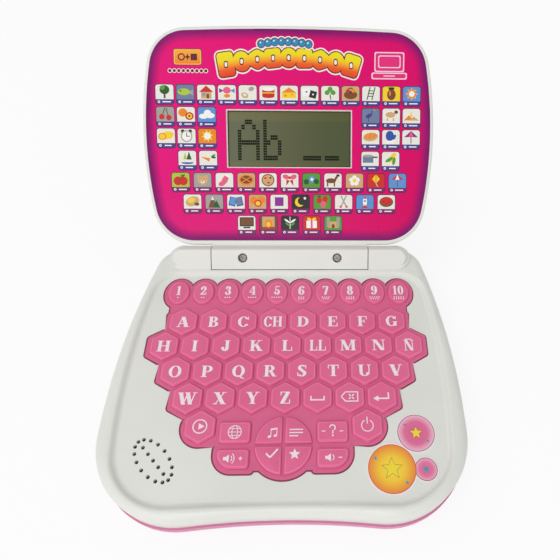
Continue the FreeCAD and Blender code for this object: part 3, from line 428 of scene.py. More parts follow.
# After a letter's width come its strokes, with capitals 1 high. d: leaning stroke x0 y0 x1 y1 width;
# h: hairline x0 x1 y; s: serif x y width; S: stem with serifs; v: upright hairline x y0 y1;
# r: bowl x y rx ry start end; o: ball x y radius.
GLYPHS = {
    "A": (0.98, "d .47 1 .78 0 .29", "d .43 1 .16 0 .085", "h .27 .66 .34", "s .16 0 .3",
        "s .78 0 .42"),
    "B": (0.82, "S .22", "h .2 .4 .965", "h .2 .4 .525", "h .2 .4 .035", "r .39 .755 .33 .245 -92 92",
        "r .39 .275 .39 .275 -92 92"),
    "C": (0.82, "r .44 .5 .42 .515 42 318", "v .79 .66 .99", "v .77 .1 .2"),
    "D": (0.9, "S .22", "h .2 .38 .965", "h .2 .38 .035", "r .36 .5 .52 .5 -92 92"),
    "E": (0.8, "S .22", "h .2 .7 .965", "v .7 .7 1", "h .2 .52 .52", "v .53 .38 .66", "h .2 .73 .035",
        "v .74 0 .34"),
    "F": (0.76, "S .22", "h .2 .7 .965", "v .7 .68 1", "h .2 .52 .5", "v .53 .36 .64"),
    "G": (0.9, "r .44 .5 .42 .515 42 330", "v .77 .68 .99", "d .72 .04 .72 .42 .22", "s .72 .43 .38"),
    "H": (1.0, "S .22", "S .78", "h .22 .78 .52"),
    "I": (0.44, "S .22"),
    "J": (0.64, "d .44 .24 .44 1 .235", "s .44 1 .42", "r .3 .24 .2575 .24 178 362", "o .13 .27 .12"),
    "K": (0.98, "S .22", "d .3 .36 .74 1 .085", "d .46 .62 .8 0 .28", "s .74 1 .36", "s .79 0 .42"),
    "L": (0.78, "S .22", "h .2 .72 .035", "v .73 0 .38"),
    "M": (1.2, "d .15 0 .15 1 .08", "d .2 1 .56 .03 .26", "d .56 .03 .9 1 .08", "S .97", "s .15 0 .28",
        "s .15 1 .28"),
    "N": (1.0, "d .16 0 .16 1 .08", "d .2 1 .78 0 .28", "d .84 0 .84 1 .08", "s .16 0 .3",
        "s .15 1 .34", "s .84 1 .3"),
    "O": (0.92, "r .46 .5 .45 .515 0 360"),
    "P": (0.84, "S .22", "h .2 .4 .965", "h .2 .4 .445", "r .4 .705 .4 .295 -92 92"),
    "Q": (0.92, "r .46 .5 .45 .515 0 360", "d .44 .12 .84 -.16 .2"),
    "R": (0.96, "S .22", "h .2 .4 .965", "h .2 .4 .485", "r .4 .725 .37 .275 -92 92",
        "d .5 .5 .76 0 .24", "s .82 0 .24"),
    "S": (0.7, "r .36 .745 .3 .27 35 275", "r .34 .275 .33 .29 -145 95", "d .2 .7 .52 .34 .3",
        "v .62 .68 .98", "v .06 .02 .34"),
    "T": (0.86, "S .43", "h .06 .8 .965", "v .07 .66 1", "v .79 .66 1"),
    "U": (0.98, "d .22 .3 .22 1 .235", "s .22 1 .42", "d .8 .3 .8 1 .08", "s .8 1 .3",
        "r .4725 .31 .37 .325 178 362"),
    "V": (0.94, "d .2 1 .5 0 .29", "d .8 1 .5 0 .085", "s .2 1 .42", "s .8 1 .3"),
    "W": (1.36, "d .18 1 .44 0 .27", "d .68 1 .44 0 .085", "d .66 1 .92 0 .27", "d 1.18 1 .92 0 .085",
        "s .18 1 .38", "s .66 1 .36", "s 1.18 1 .3"),
    "X": (0.94, "d .22 1 .74 0 .3", "d .76 1 .18 0 .085", "s .22 1 .42", "s .76 1 .3", "s .74 0 .42",
        "s .18 0 .3"),
    "Y": (0.92, "d .2 1 .46 .42 .28", "d .78 1 .5 .44 .085", "d .47 0 .47 .46 .235", "s .47 0 .42",
        "s .2 1 .42", "s .78 1 .3"),
    "Z": (0.8, "d .6 .97 .18 .03 .28", "h .1 .68 .965", "h .1 .7 .035", "v .1 .68 1", "v .71 0 .34"),
    "1": (0.5, "d .26 0 .26 1 .22", "s .26 0 .44", "d .1 .84 .22 .97 .12"),
    "2": (0.66, "r .33 .71 .29 .29 -35 175", "o .15 .7 .12", "d .5 .56 .14 .1 .17", "h .05 .6 .06",
        "h .05 .6 .11", "v .6 .02 .3"),
    "3": (0.64, "r .31 .745 .27 .255 -92 150", "r .31 .275 .31 .29 -150 92", "o .14 .77 .11",
        "o .13 .22 .12", "h .24 .36 .52"),
    "4": (0.7, "d .47 0 .47 1 .2", "s .47 0 .4", "d .42 1 .08 .3 .085", "h .04 .66 .29"),
    "5": (0.62, "d .16 .5 .16 1 .08", "h .14 .54 .93", "h .14 .54 .965", "r .3 .31 .3 .31 -150 128",
        "o .13 .24 .12"),
    "6": (0.66, "r .34 .3 .31 .31 0 360", "r .42 .46 .39 .54 78 212", "o .54 .84 .11"),
    "7": (0.64, "d .54 .92 .3 0 .23", "h .07 .6 .95", "h .07 .6 .9", "v .09 .7 .98"),
    "8": (0.66, "r .33 .745 .27 .265 0 360", "r .33 .275 .31 .29 0 360"),
    "9": (0.66, "r .32 .7 .31 .31 0 360", "r .24 .54 .39 .54 -102 32", "o .12 .16 .11"),
    "0": (0.68, "r .34 .5 .33 .515 0 360"),
}


def write(bm, text, x, y, z, tall, squeeze=1.0):
    """Draws letters with thick stems and hairline serifs, centred on x and y."""
    width = sum(GLYPHS[sign][0] for sign in text) + LETTER_GAP * (len(text) - 1)
    left = x - width * tall * squeeze / 2
    before = set(bm.verts)
    for sign in text:
        wide, *strokes = GLYPHS[sign]
        start = set(bm.verts)
        level = 0.0
        for drawn in strokes:
            kind, *numbers = drawn.split()
            across, *others = [float(number) for number in numbers]
            level += STROKE_STEP
            if kind == "d":
                stroke(bm, across, *others, level)
            elif kind == "h":
                end, up = others
                slab(bm, (across + end) / 2, up, level, end - across, HAIR)
            elif kind == "s":
                up, length = others
                slab(bm, across, min(max(up, FOOT / 2), 1 - FOOT / 2), level, length, FOOT)
            elif kind == "S":
                stroke(bm, across, 0, across, 1, THICK, level)
                for up in (FOOT / 2, 1 - FOOT / 2):
                    slab(bm, across, up, level + 0.0002, SERIF, FOOT)
            elif kind == "v":
                low, high = others
                stroke(bm, across, low, across, high, HAIR, level)
            elif kind == "r":
                up, rx, ry, first, last = others
                ring(bm, across, up, level, rx, ry, THICK, HAIR, first, last, 0, 36)
            elif kind == "o":
                up, radius = others
                spot(bm, across, up, level, 2 * radius, 2 * radius, 0, 16)
        place = Matrix.Translation((left, y - tall / 2, z)) @ Matrix.Diagonal((tall * squeeze, tall, 1, 1))
        bmesh.ops.transform(bm, verts=added(bm, start), matrix=place)
        left += (wide + LETTER_GAP) * tall * squeeze
    whole = added(bm, before)
    bmesh.ops.translate(bm, verts=whole, vec=(x - halfway([corner.co.x for corner in whole]), 0, 0))


# marks on the keys, drawn round the middle of a key, of the round menu or of the row of numbers

INK_LEVEL = KEY_TOP + INK_RISE
CAP = 7.8
DIGIT = 7.2
SIDES = (-1, 1)


def legend(key, draw, x, y):
    bm = bmesh.new()
    draw(bm)
    bmesh.ops.translate(bm, verts=bm.verts, vec=(x, y, INK_LEVEL))
    return piece("legend_" + key, bm, [legend_ink], key, BASE, LEGEND_FILM)


def letter(text):
    def draw(bm):
        squeeze = 0.86 if len(text) > 1 else 1.13
        if text == "N~":
            write(bm, "N", 0, -0.7, 0, CAP, squeeze)
            slab(bm, 0, 3.7, 0, 4.2, 0.7)
        else:
            write(bm, text, 0, -0.4, 0, CAP, squeeze)
    return draw


for row_y, first_x, letters in ((36, -70, "A B C CH D E F G"), (18, -80, "H I J K L LL M N N~"),
                                (0, -70, "O P Q R S T U V"), (-18, -60, "W X Y Z")):
    for step, text in enumerate(letters.split()):
        key = "key_" + {"N~": "enye"}.get(text, text.lower())
        legend(key, letter(text), first_x + 20 * step, row_y)


def space_mark(bm):
    slab(bm, 0, -2, 0, 9, 0.9)
    for side in SIDES:
        slab(bm, side * 4.05, -0.8, 0.002, 0.9, 2.6)


def clear_mark(bm):
    for turn in (45, -45):
        slab(bm, 1, 0, 0, 4.4, 0.8, 0, turn)
    for side in SIDES:
        slab(bm, 1.2, side * 3, 0.002, 7.4, 0.7)
        slab(bm, -3.9, side * 1.6, 0.004, 4.3, 0.7, 0, side * 48)
    slab(bm, 4.9, 0, 0.006, 0.7, 6.7)


def enter_mark(bm):
    slab(bm, 0.6, -1.4, 0, 7.4, 0.95)
    slab(bm, 4, 0.4, 0.002, 0.95, 4.2)
    spot(bm, -3.4, -1.4, 0.004, 4.4, 4.4, 0, 3, 90)


def demo_mark(bm):
    ring(bm, 0, 0, 0, 4.4, 4.4, 0.7, 0.7)
    spot(bm, 0.4, 0, 0.002, 4.6, 4.6, 0, 3, -90)


def power_mark(bm):
    ring(bm, 0, -0.4, 0, 3.8, 3.8, 0.6, 0.6, 118, 422)
    slab(bm, 0, 2.8, 0.002, 0.62, 4.4)


def globe_mark(bm):
    ring(bm, 0, 0, 0, 4.1, 4.1, 0.5, 0.5)
    ring(bm, 0, 0, 0.002, 1.9, 4.1, 0.42, 0.42)
    slab(bm, 0, 0, 0.004, 8, 0.42)
    for side in SIDES:
        slab(bm, 0, 2 * side, 0.006, 6.8, 0.4)


def help_mark(bm):
    ring(bm, 0, 2.1, 0, 2.0, 2.0, 0.75, 0.75, -60, 180)
    slab(bm, 0.15, -0.5, 0.002, 0.8, 1.9)
    spot(bm, 0.15, -2.6, 0.002, 1.1, 1.1, 0, 16)
    for side in SIDES:
        slab(bm, 5.3 * side, 0, 0, 2.2, 0.55)


def speaker_mark(bm, x, waves):
    slab(bm, x - 2.6, 0, 0, 1.6, 1.9)
    cone = square(bm, at(x - 1.0, 0, 0.002, 0, 1.8, 4.6))
    for corner in cone:
        if corner.co.x < x - 1.0:
            corner.co.y *= 0.42
    inked(cone, 0)
    for wave in range(waves):
        reach = 1.9 + 1.3 * wave
        ring(bm, x, 0, 0.004, reach, reach * 1.15, 0.5, 0.5, -52, 52)


def louder_mark(bm):
    speaker_mark(bm, -2, 2)
    slab(bm, 4.6, 0, 0, 2.2, 0.6)
    slab(bm, 4.6, 0, 0.002, 0.6, 2.2)


def softer_mark(bm):
    speaker_mark(bm, -1, 1)
    slab(bm, 4.4, 0, 0, 2.2, 0.6)


def note_mark(bm):
    for x, y in ((-8.4, 4.8), (-4.9, 5.4)):
        spot(bm, x, y, 0, 2.1, 1.5, 0, 20, 20)
        slab(bm, x + 0.85, y + 2.0, 0.002, 0.45, 4.4)
    slab(bm, -5.8, 9.4, 0.004, 3.95, 1.0, 0, 10)


def lines_mark(bm):
    for row, wide in enumerate((8.0, 8.0, 5.2)):
        slab(bm, 3.4 + wide / 2, 9.0 - 1.9 * row, 0, wide, 0.7)


def tick_mark(bm):
    slab(bm, -8.6, -6.2, 0, 3.4, 0.95, 0, -45)
    slab(bm, -5.2, -4.9, 0.002, 6.4, 0.95, 0, 48)


def star_mark(bm):
    star(bm, 6.8, -5.6, 0, 6.8)


MENU = (0, -47.4)
for key, draw, place in (
    ("space", space_mark, (20, -18)), ("clear", clear_mark, (40, -18)), ("enter", enter_mark, (60, -18)),
    ("demo", demo_mark, (-50, -36)), ("power", power_mark, (50, -36)),
    ("language", globe_mark, (-29, -39.6)), ("help", help_mark, (29, -39.6)),
    ("volume_up", louder_mark, (-29, -55.1)), ("volume_down", softer_mark, (29, -55.1)),
    ("menu_a", note_mark, MENU), ("menu_b", lines_mark, MENU), ("menu_c", tick_mark, MENU),
    ("menu_d", star_mark, MENU),
):
    legend("key_" + key, draw, *place)


def number_marks(bm):
    """Each number over as many dots, in one row or two."""
    for count in range(1, 11):
        x = -76.5 + 17 * (count - 1)
        write(bm, str(count), x, 0, 0, DIGIT, 0.84 if count == 10 else 0.95)
        rows = [count] if count <= 5 else [(count + 1) // 2, count // 2]
        for row, many in enumerate(rows):
            for dot in range(many):
                spot(bm, x + 1.6 * (dot - (many - 1) / 2), -5.7 - 1.4 * row, 0, 1.0, 1.0, 0, 10)


legend("number_keys", number_marks, 0, 60.6)


# keys and their sheet

SHOULDER = 0.4
# the width of the ring of painted highlight on each key top
PAINTED_HIGHLIGHT_WIDTH = 0.4
SHOULDER_FALL = 0.1
# the side, towards the upper left, on which the lip's painted shadow reaches further in
PAINTED_SHADOW_SIDE = Vector((-0.7, 0.7))


def soft_key(name):
    """A moulded key: its shoulder falls gently from the flat top to the wall, with a ring of painted
    highlight inside it.
    """
    bm = copy_of(name)
    top = bmesh.ops.dissolve_faces(bm, faces=level_faces(bm, KEY_TOP))["region"]
    if not name.startswith("key_menu"):
        bmesh.ops.inset_region(bm, faces=top, thickness=SHOULDER * MM, use_boundary=True,
                               use_even_offset=True)
    # the ring just inside the shoulder takes the lighter rubber: a painted highlight
    line = bmesh.ops.inset_region(bm, faces=top, thickness=PAINTED_HIGHLIGHT_WIDTH * MM, use_boundary=True)["faces"]
    for face in line:
        face.material_index = 1
    bm.normal_update()
    edge = [corner for corner in bm.verts if corner.co.z > KEY_TOP * MM - 0.00005
            and any(face.normal.z < 0.95 for face in corner.link_faces)]
    bmesh.ops.translate(bm, verts=edge, vec=(0, 0, -SHOULDER_FALL * MM))
    for face in bm.faces:
        face.smooth = True
    made = piece("soft_" + name, bm, [silicone, key_painted_highlight], name, AS_IT_LIES, 0.0, [name])
    made.data.set_sharp_from_angle(angle=math.radians(40))
    return made


for name in list(node):
    if name.startswith("key_") or name == "number_keys":
        soft_key(name)


def rims_of(name, height):
    """Every rim of a node's level face, each as its corners in order."""
    bm = copy_of(name)
    level = level_faces(bm, height)
    inside = set(level)
    rim = dict.fromkeys(edge for face in level for edge in face.edges
                        if sum(other in inside for other in edge.link_faces) == 1)
    rims = []
    while rim:
        edge = rim.popitem()[0]
        loop = [edge.verts[0], edge.verts[1]]
        while True:
            onward = [other for other in loop[-1].link_edges if other in rim]
            if not onward:
                break
            del rim[onward[0]]
            loop.append(onward[0].other_vert(loop[-1]))
        if loop[0] == loop[-1]:
            loop.pop()
        rims.append([corner.co.xy for corner in loop])
    bm.free()
    return rims


LARGEST_HOLE = 1.5
SPEAKER_SIDE = -50


def speaker_holes():
    """Painted shade: a dark flat ring round each hole over the speaker, as if its edge were a shaded chamfer.
    """
    bm = bmesh.new()
    for rim in rims_of("base_top_shell", DECK_TOP):
        centre = sum(rim, Vector((0, 0))) / len(rim)
        radius = max((corner - centre).length for corner in rim) / MM
        x, y = centre / MM
        if radius < LARGEST_HOLE and x < SPEAKER_SIDE:
            ring(bm, x, y, DECK_TOP + INK_RISE, radius + 0.17, radius + 0.17, 0.2, 0.2)
    return piece("speaker_hole_painted_shade", bm, [speaker_black], "base", BASE, INK_FILM)


speaker_holes()


def sheet_top():
    """The raised skin of the rubber sheet between the keys."""
    bm = copy_of("keypad_web")
    level = set(level_faces(bm, WEB_TOP))
    bmesh.ops.delete(bm, geom=[face for face in bm.faces if face not in level], context="FACES")
    raised = bmesh.ops.extrude_face_region(bm, geom=bm.faces[:])["geom"]
    bmesh.ops.translate(bm, verts=corners_in(raised), vec=(0, 0, (SHEET_TOP - WEB_TOP) * MM))
    bmesh.ops.recalc_face_normals(bm, faces=bm.faces)
    return piece("sheet_top", bm, [web_rubber], "base", AS_IT_LIES)


def samples_of(way):
    """A search tree of points close together along a closed line."""
    points = []
    for start, end in zip(way, way[1:] + way[:1]):
        parts = max(1, math.ceil((end - start).length / 0.0001))
        points += [start.lerp(end, part / parts) for part in range(parts)]
    tree = KDTree(len(points))
    for number, point in enumerate(points):
        tree.insert((point.x, point.y, 0), number)
    tree.balance()
    return tree


# The section of the sheet's lip: how far out of the opening's line, how high, and how much less far
# out it comes on the side towards the upper left. The last bands are dark, a painted shadow along the lip's
# edge that is wider on the upper left side.
LIP = ((-1.4, 28.1, 0), (-1.3, SHEET_TOP + 0.02, 0), (1.1, SHEET_TOP + 0.02, 0.6),
       (1.7, SHEET_TOP - 0.3, 0.4), (1.9, 27.99, 0))
FIRST_PAINTED_SHADOW_BAND = 2


def sheet_lip():
    """The thin lip of the rubber sheet that lies on the deck round the keys, its outer bands in painted
    shadow.
    """
    way = max(rims_of("keypad_web", WEB_TOP), key=len)
    turning = sum(a.x * b.y - b.x * a.y for a, b in zip(way, way[1:] + way[:1]))
    if turning < 0:
        way.reverse()
    mitres = []
    for before, here, after in zip(way[-1:] + way[:-1], way, way[1:] + way[:1]):
        first, second = (here - before).normalized(), (after - here).normalized()
        first, second = Vector((first.y, -first.x)), Vector((second.y, -second.x))
        mitres.append((first + second) / max(1 + first.dot(second), 0.35))
    line = samples_of(way)
    bm = bmesh.new()
    loop = [bm.verts.new((here.x, here.y, 0)) for here in way]
    edges = start = [bm.edges.new((a, b)) for a, b in zip(loop, loop[1:] + loop[:1])]

    def set_loop(corners, section):
        out, height, lean = [value * MM for value in section]
        for corner, here, mitre in zip(corners, way, mitres):
            # on the upper left side the painted shadow bands start further in
            own = out - lean * max(0.0, PAINTED_SHADOW_SIDE.dot(mitre.normalized()))
            # a corner stops where another stretch of the line is nearer than its own
            share = 1.0
            while share > 0.05:
                reach = own * share
                if line.find((*(here + mitre * reach), 0))[2] >= 0.9 * abs(reach):
                    break
                share *= 0.9
            corner.co = (*(here + mitre * own * share), height)

    set_loop(loop, LIP[0])
    for band, section in enumerate(LIP[1:]):
        made = bmesh.ops.extrude_edge_only(bm, edges=edges)["geom"]
        for face in made:
            # the outer bands are dark rubber: painted shadow
            if isinstance(face, bmesh.types.BMFace):
                face.material_index = 1 if band >= FIRST_PAINTED_SHADOW_BAND else 0
        fresh = set(corners_in(made))
        follow = {}
        for corner in fresh:
            ends = [edge.other_vert(corner) for edge in corner.link_edges]
            follow[next(end for end in ends if end not in fresh)] = corner
        loop = [follow[corner] for corner in loop]
        edges = [edge for edge in made if isinstance(edge, bmesh.types.BMEdge)]
        set_loop(loop, section)
    bmesh.ops.bridge_loops(bm, edges=start + edges)
    bmesh.ops.remove_doubles(bm, verts=bm.verts, dist=0.000002)
    bmesh.ops.recalc_face_normals(bm, faces=bm.faces)
    if bm.calc_volume(signed=True) < 0:
        bmesh.ops.reverse_faces(bm, faces=bm.faces)
    return piece("sheet_lip", bm, [web_rubber, web_painted_shadow], "base", AS_IT_LIES)


sheet_top()
sheet_lip()


# screws

SCREW_TIP = 1.2
RECESS_HALF = 0.34
HEAD_RADIUS, SHANK_RADIUS = 2.8, 1.3


def rod(bm, segments, low, high, radius1, radius2):
    """A round rod between two heights, which may taper."""
    bmesh.ops.create_cone(bm, cap_ends=True, segments=segments, radius1=radius1, radius2=radius2,
                          depth=high - low, matrix=Matrix.Translation((0, 0, (low + high) / 2)))


def cross_screw(bm, head, length, place):
    """A pan-headed screw with a cross recess: its head stands on z = 0 and its shank hangs below."""
    fresh = bmesh.new()
    rod(fresh, 32, 0, head, HEAD_RADIUS, HEAD_RADIUS)
    rim = [edge for edge in fresh.edges if all(corner.co.z > head - 0.001 for corner in edge.verts)]
    bmesh.ops.bevel(fresh, geom=rim, offset=head * 0.36, segments=3, profile=0.5, affect="EDGES", material=-1)
    reach = HEAD_RADIUS * 0.6

    def top_faces():
        return [face for face in fresh.faces if face.calc_center_median().z > head - 0.001]

    for axis in (0, 1):
        for where in (-reach, -RECESS_HALF, RECESS_HALF, reach):
            top = top_faces()
            parts = dict.fromkeys(edge for face in top for edge in face.edges)
            parts.update(dict.fromkeys(corner for face in top for corner in face.verts))
            point, way = Vector((0, 0, 0)), Vector((0, 0, 0))
            point[axis], way[axis] = where, 1
            bmesh.ops.bisect_plane(fresh, geom=top + list(parts), dist=0.0001, plane_co=point, plane_no=way)
    recess = []
    for face in top_faces():
        centre = face.calc_center_median()
        along, aside = sorted((abs(centre.x), abs(centre.y)), reverse=True)
        if along < reach and aside < RECESS_HALF:
            recess.append(face)
    sunk = bmesh.ops.extrude_face_region(fresh, geom=recess)["geom"]
    bmesh.ops.translate(fresh, verts=corners_in(sunk), vec=(0, 0, -head * 0.55))
    bmesh.ops.delete(fresh, geom=recess, context="FACES")
    rod(fresh, 16, -length, SCREW_TIP - length, SHANK_RADIUS * 0.6, SHANK_RADIUS)
    rod(fresh, 16, SCREW_TIP - length, 0, SHANK_RADIUS, SHANK_RADIUS)
    add_to(bm, fresh, place)


def knuckle_screws():
    bm = bmesh.new()
    for side in SIDES:
        turned = Matrix.Rotation(0.5 * side, 4, "Z")
        cross_screw(bm, 2.0, 9.5, Matrix.Translation((33.8 * side, 0, 2.0)) @ turned)
    return piece("knuckle_screws", bm, [dull_shaded_steel], "lid", LID, 0.0, ["lid_screws"])


CASE_SCREWS = ((-90, 70.5), (90, 70.5), (-101, -20), (101, -20), (-52, -78.5), (52, -78.5))
DOOR_SCREW = (36.8, 36)


def case_screws():
    bm = bmesh.new()
    head_down = Matrix.Rotation(math.pi, 4, "X")
    for step, (x, y) in enumerate(CASE_SCREWS):
        turned = Matrix.Rotation(0.6 * step, 4, "Z")
        cross_screw(bm, 2.0, 11.0, Matrix.Translation((x, y, 7.5)) @ head_down @ turned)
    cross_screw(bm, 1.1, 11.0, Matrix.Translation((*DOOR_SCREW, 1.1)) @ head_down)
    return piece("case_screw_set", bm, [dull_shaded_steel], "base", BASE, 0.0, ["case_screws"])


knuckle_screws()
case_screws()


# printed panel

def panel_ink():
    """Magenta that deepens towards the hinge and runs into a purple border, under a clear film."""
    finish, tree, place = new_finish("panel_ink")
    there = on_lid(tree, place)
    along = between(tree, one_of(tree, there, "Y"), 0.012, 0.158, 0.0, 1.0)
    left = shades(tree, along, (0.0, paint(225, 24, 122)), (0.5, paint(233, 22, 126)),
                  (1.0, paint(231, 12, 118)))
    right = shades(tree, along, (0.0, paint(216, 5, 98)), (1.0, paint(222, 6, 107)))
    across = between(tree, one_of(tree, there, "X"), -0.04, 0.09, 0.0, 1.0)
    edge = add(tree, "Attribute", "Fac", {}, attribute_name="border")
    purple = mottled(tree, place, 0.03, 2, paint(128, 20, 104), paint(138, 24, 110))
    return surfaced(finish, {
        "Base Color": blended(tree, edge, blended(tree, across, left, right), purple),
        "Roughness": uneven(tree, place, 0.03, 0.24, 0.33),
        "Normal": relief(tree, grain(tree, place, 0.018), 0.00004),
        "Specular IOR Level": 0.13,
    })


# the widths of the full border and of its fading, with how purple each ends
PURPLE_BANDS = ((1.7, 1.0), (6.2, 0.0))
# round the display the panel stays plain
PLAIN_HALF_WIDTH, PLAIN_LOW, PLAIN_HIGH = 54, 56, 114


def printed_panel():
    """The panel, with how purple it is at each corner: full at its rim, none at the display."""
    bm = copy_of("front_panel")
    outward = (LID.to_3x3() @ Vector((0, 0, 1))).normalized()
    front = [face for face in bm.faces if face.normal.dot(outward) > 0.99]
    border = bm.verts.layers.float.new("border")
    for corner in bm.verts:
        corner[border] = 1.0
    for width, share in PURPLE_BANDS:
        bmesh.ops.inset_region(bm, faces=front, thickness=width * MM, use_boundary=True, use_even_offset=True)
        for face in front:
            for corner in face.verts:
                corner[border] = share
    flat = LID.inverted()
    for corner in bm.verts:
        there = flat @ corner.co
        if abs(there.x) < PLAIN_HALF_WIDTH and PLAIN_LOW < there.y < PLAIN_HIGH:
            corner[border] = 0.0
    return piece("printed_panel", bm, [panel_ink()], "lid", AS_IT_LIES, 0.0, ["front_panel"])


printed_panel()


# pictures on the panel

INKS = {
    "cream": paint(240, 238, 228), "sky": paint(96, 150, 214), "slate": paint(112, 128, 160),
    "grey": paint(168, 164, 158), "green": paint(88, 158, 52), "pine": paint(34, 88, 40),
    "red": paint(206, 44, 40), "orange": paint(240, 138, 38), "yellow": paint(250, 212, 48),
    "brown": paint(120, 74, 40), "dark": paint(40, 36, 36), "rose": paint(236, 98, 132),
    "violet": paint(138, 48, 150), "blue": paint(48, 84, 168), "tan": paint(214, 172, 118),
    "lime": paint(176, 204, 60), "indigo": paint(74, 62, 140), "plum": paint(126, 30, 108),
    "rim": paint(74, 16, 66), "white": paint(250, 249, 246),
}
ink_names = list(INKS)
ink_finishes = [printed("ink_" + name, colour) for name, colour in INKS.items()]
CARD_LEVEL = PANEL_TOP + 0.015
PICTURE_LEVEL = PANEL_TOP + 0.023
SHAPE_STEP = 0.006
TILE_WIDE, TILE_TALL = 13.4, 14.2
TILE_CORNER, TILE_RIM, TILE_STRIP = 2.2, 0.5, 3.75
PICTURE_WIDE, PICTURE_TALL, PICTURE_RISE = 10.8, 8.8, 1.75

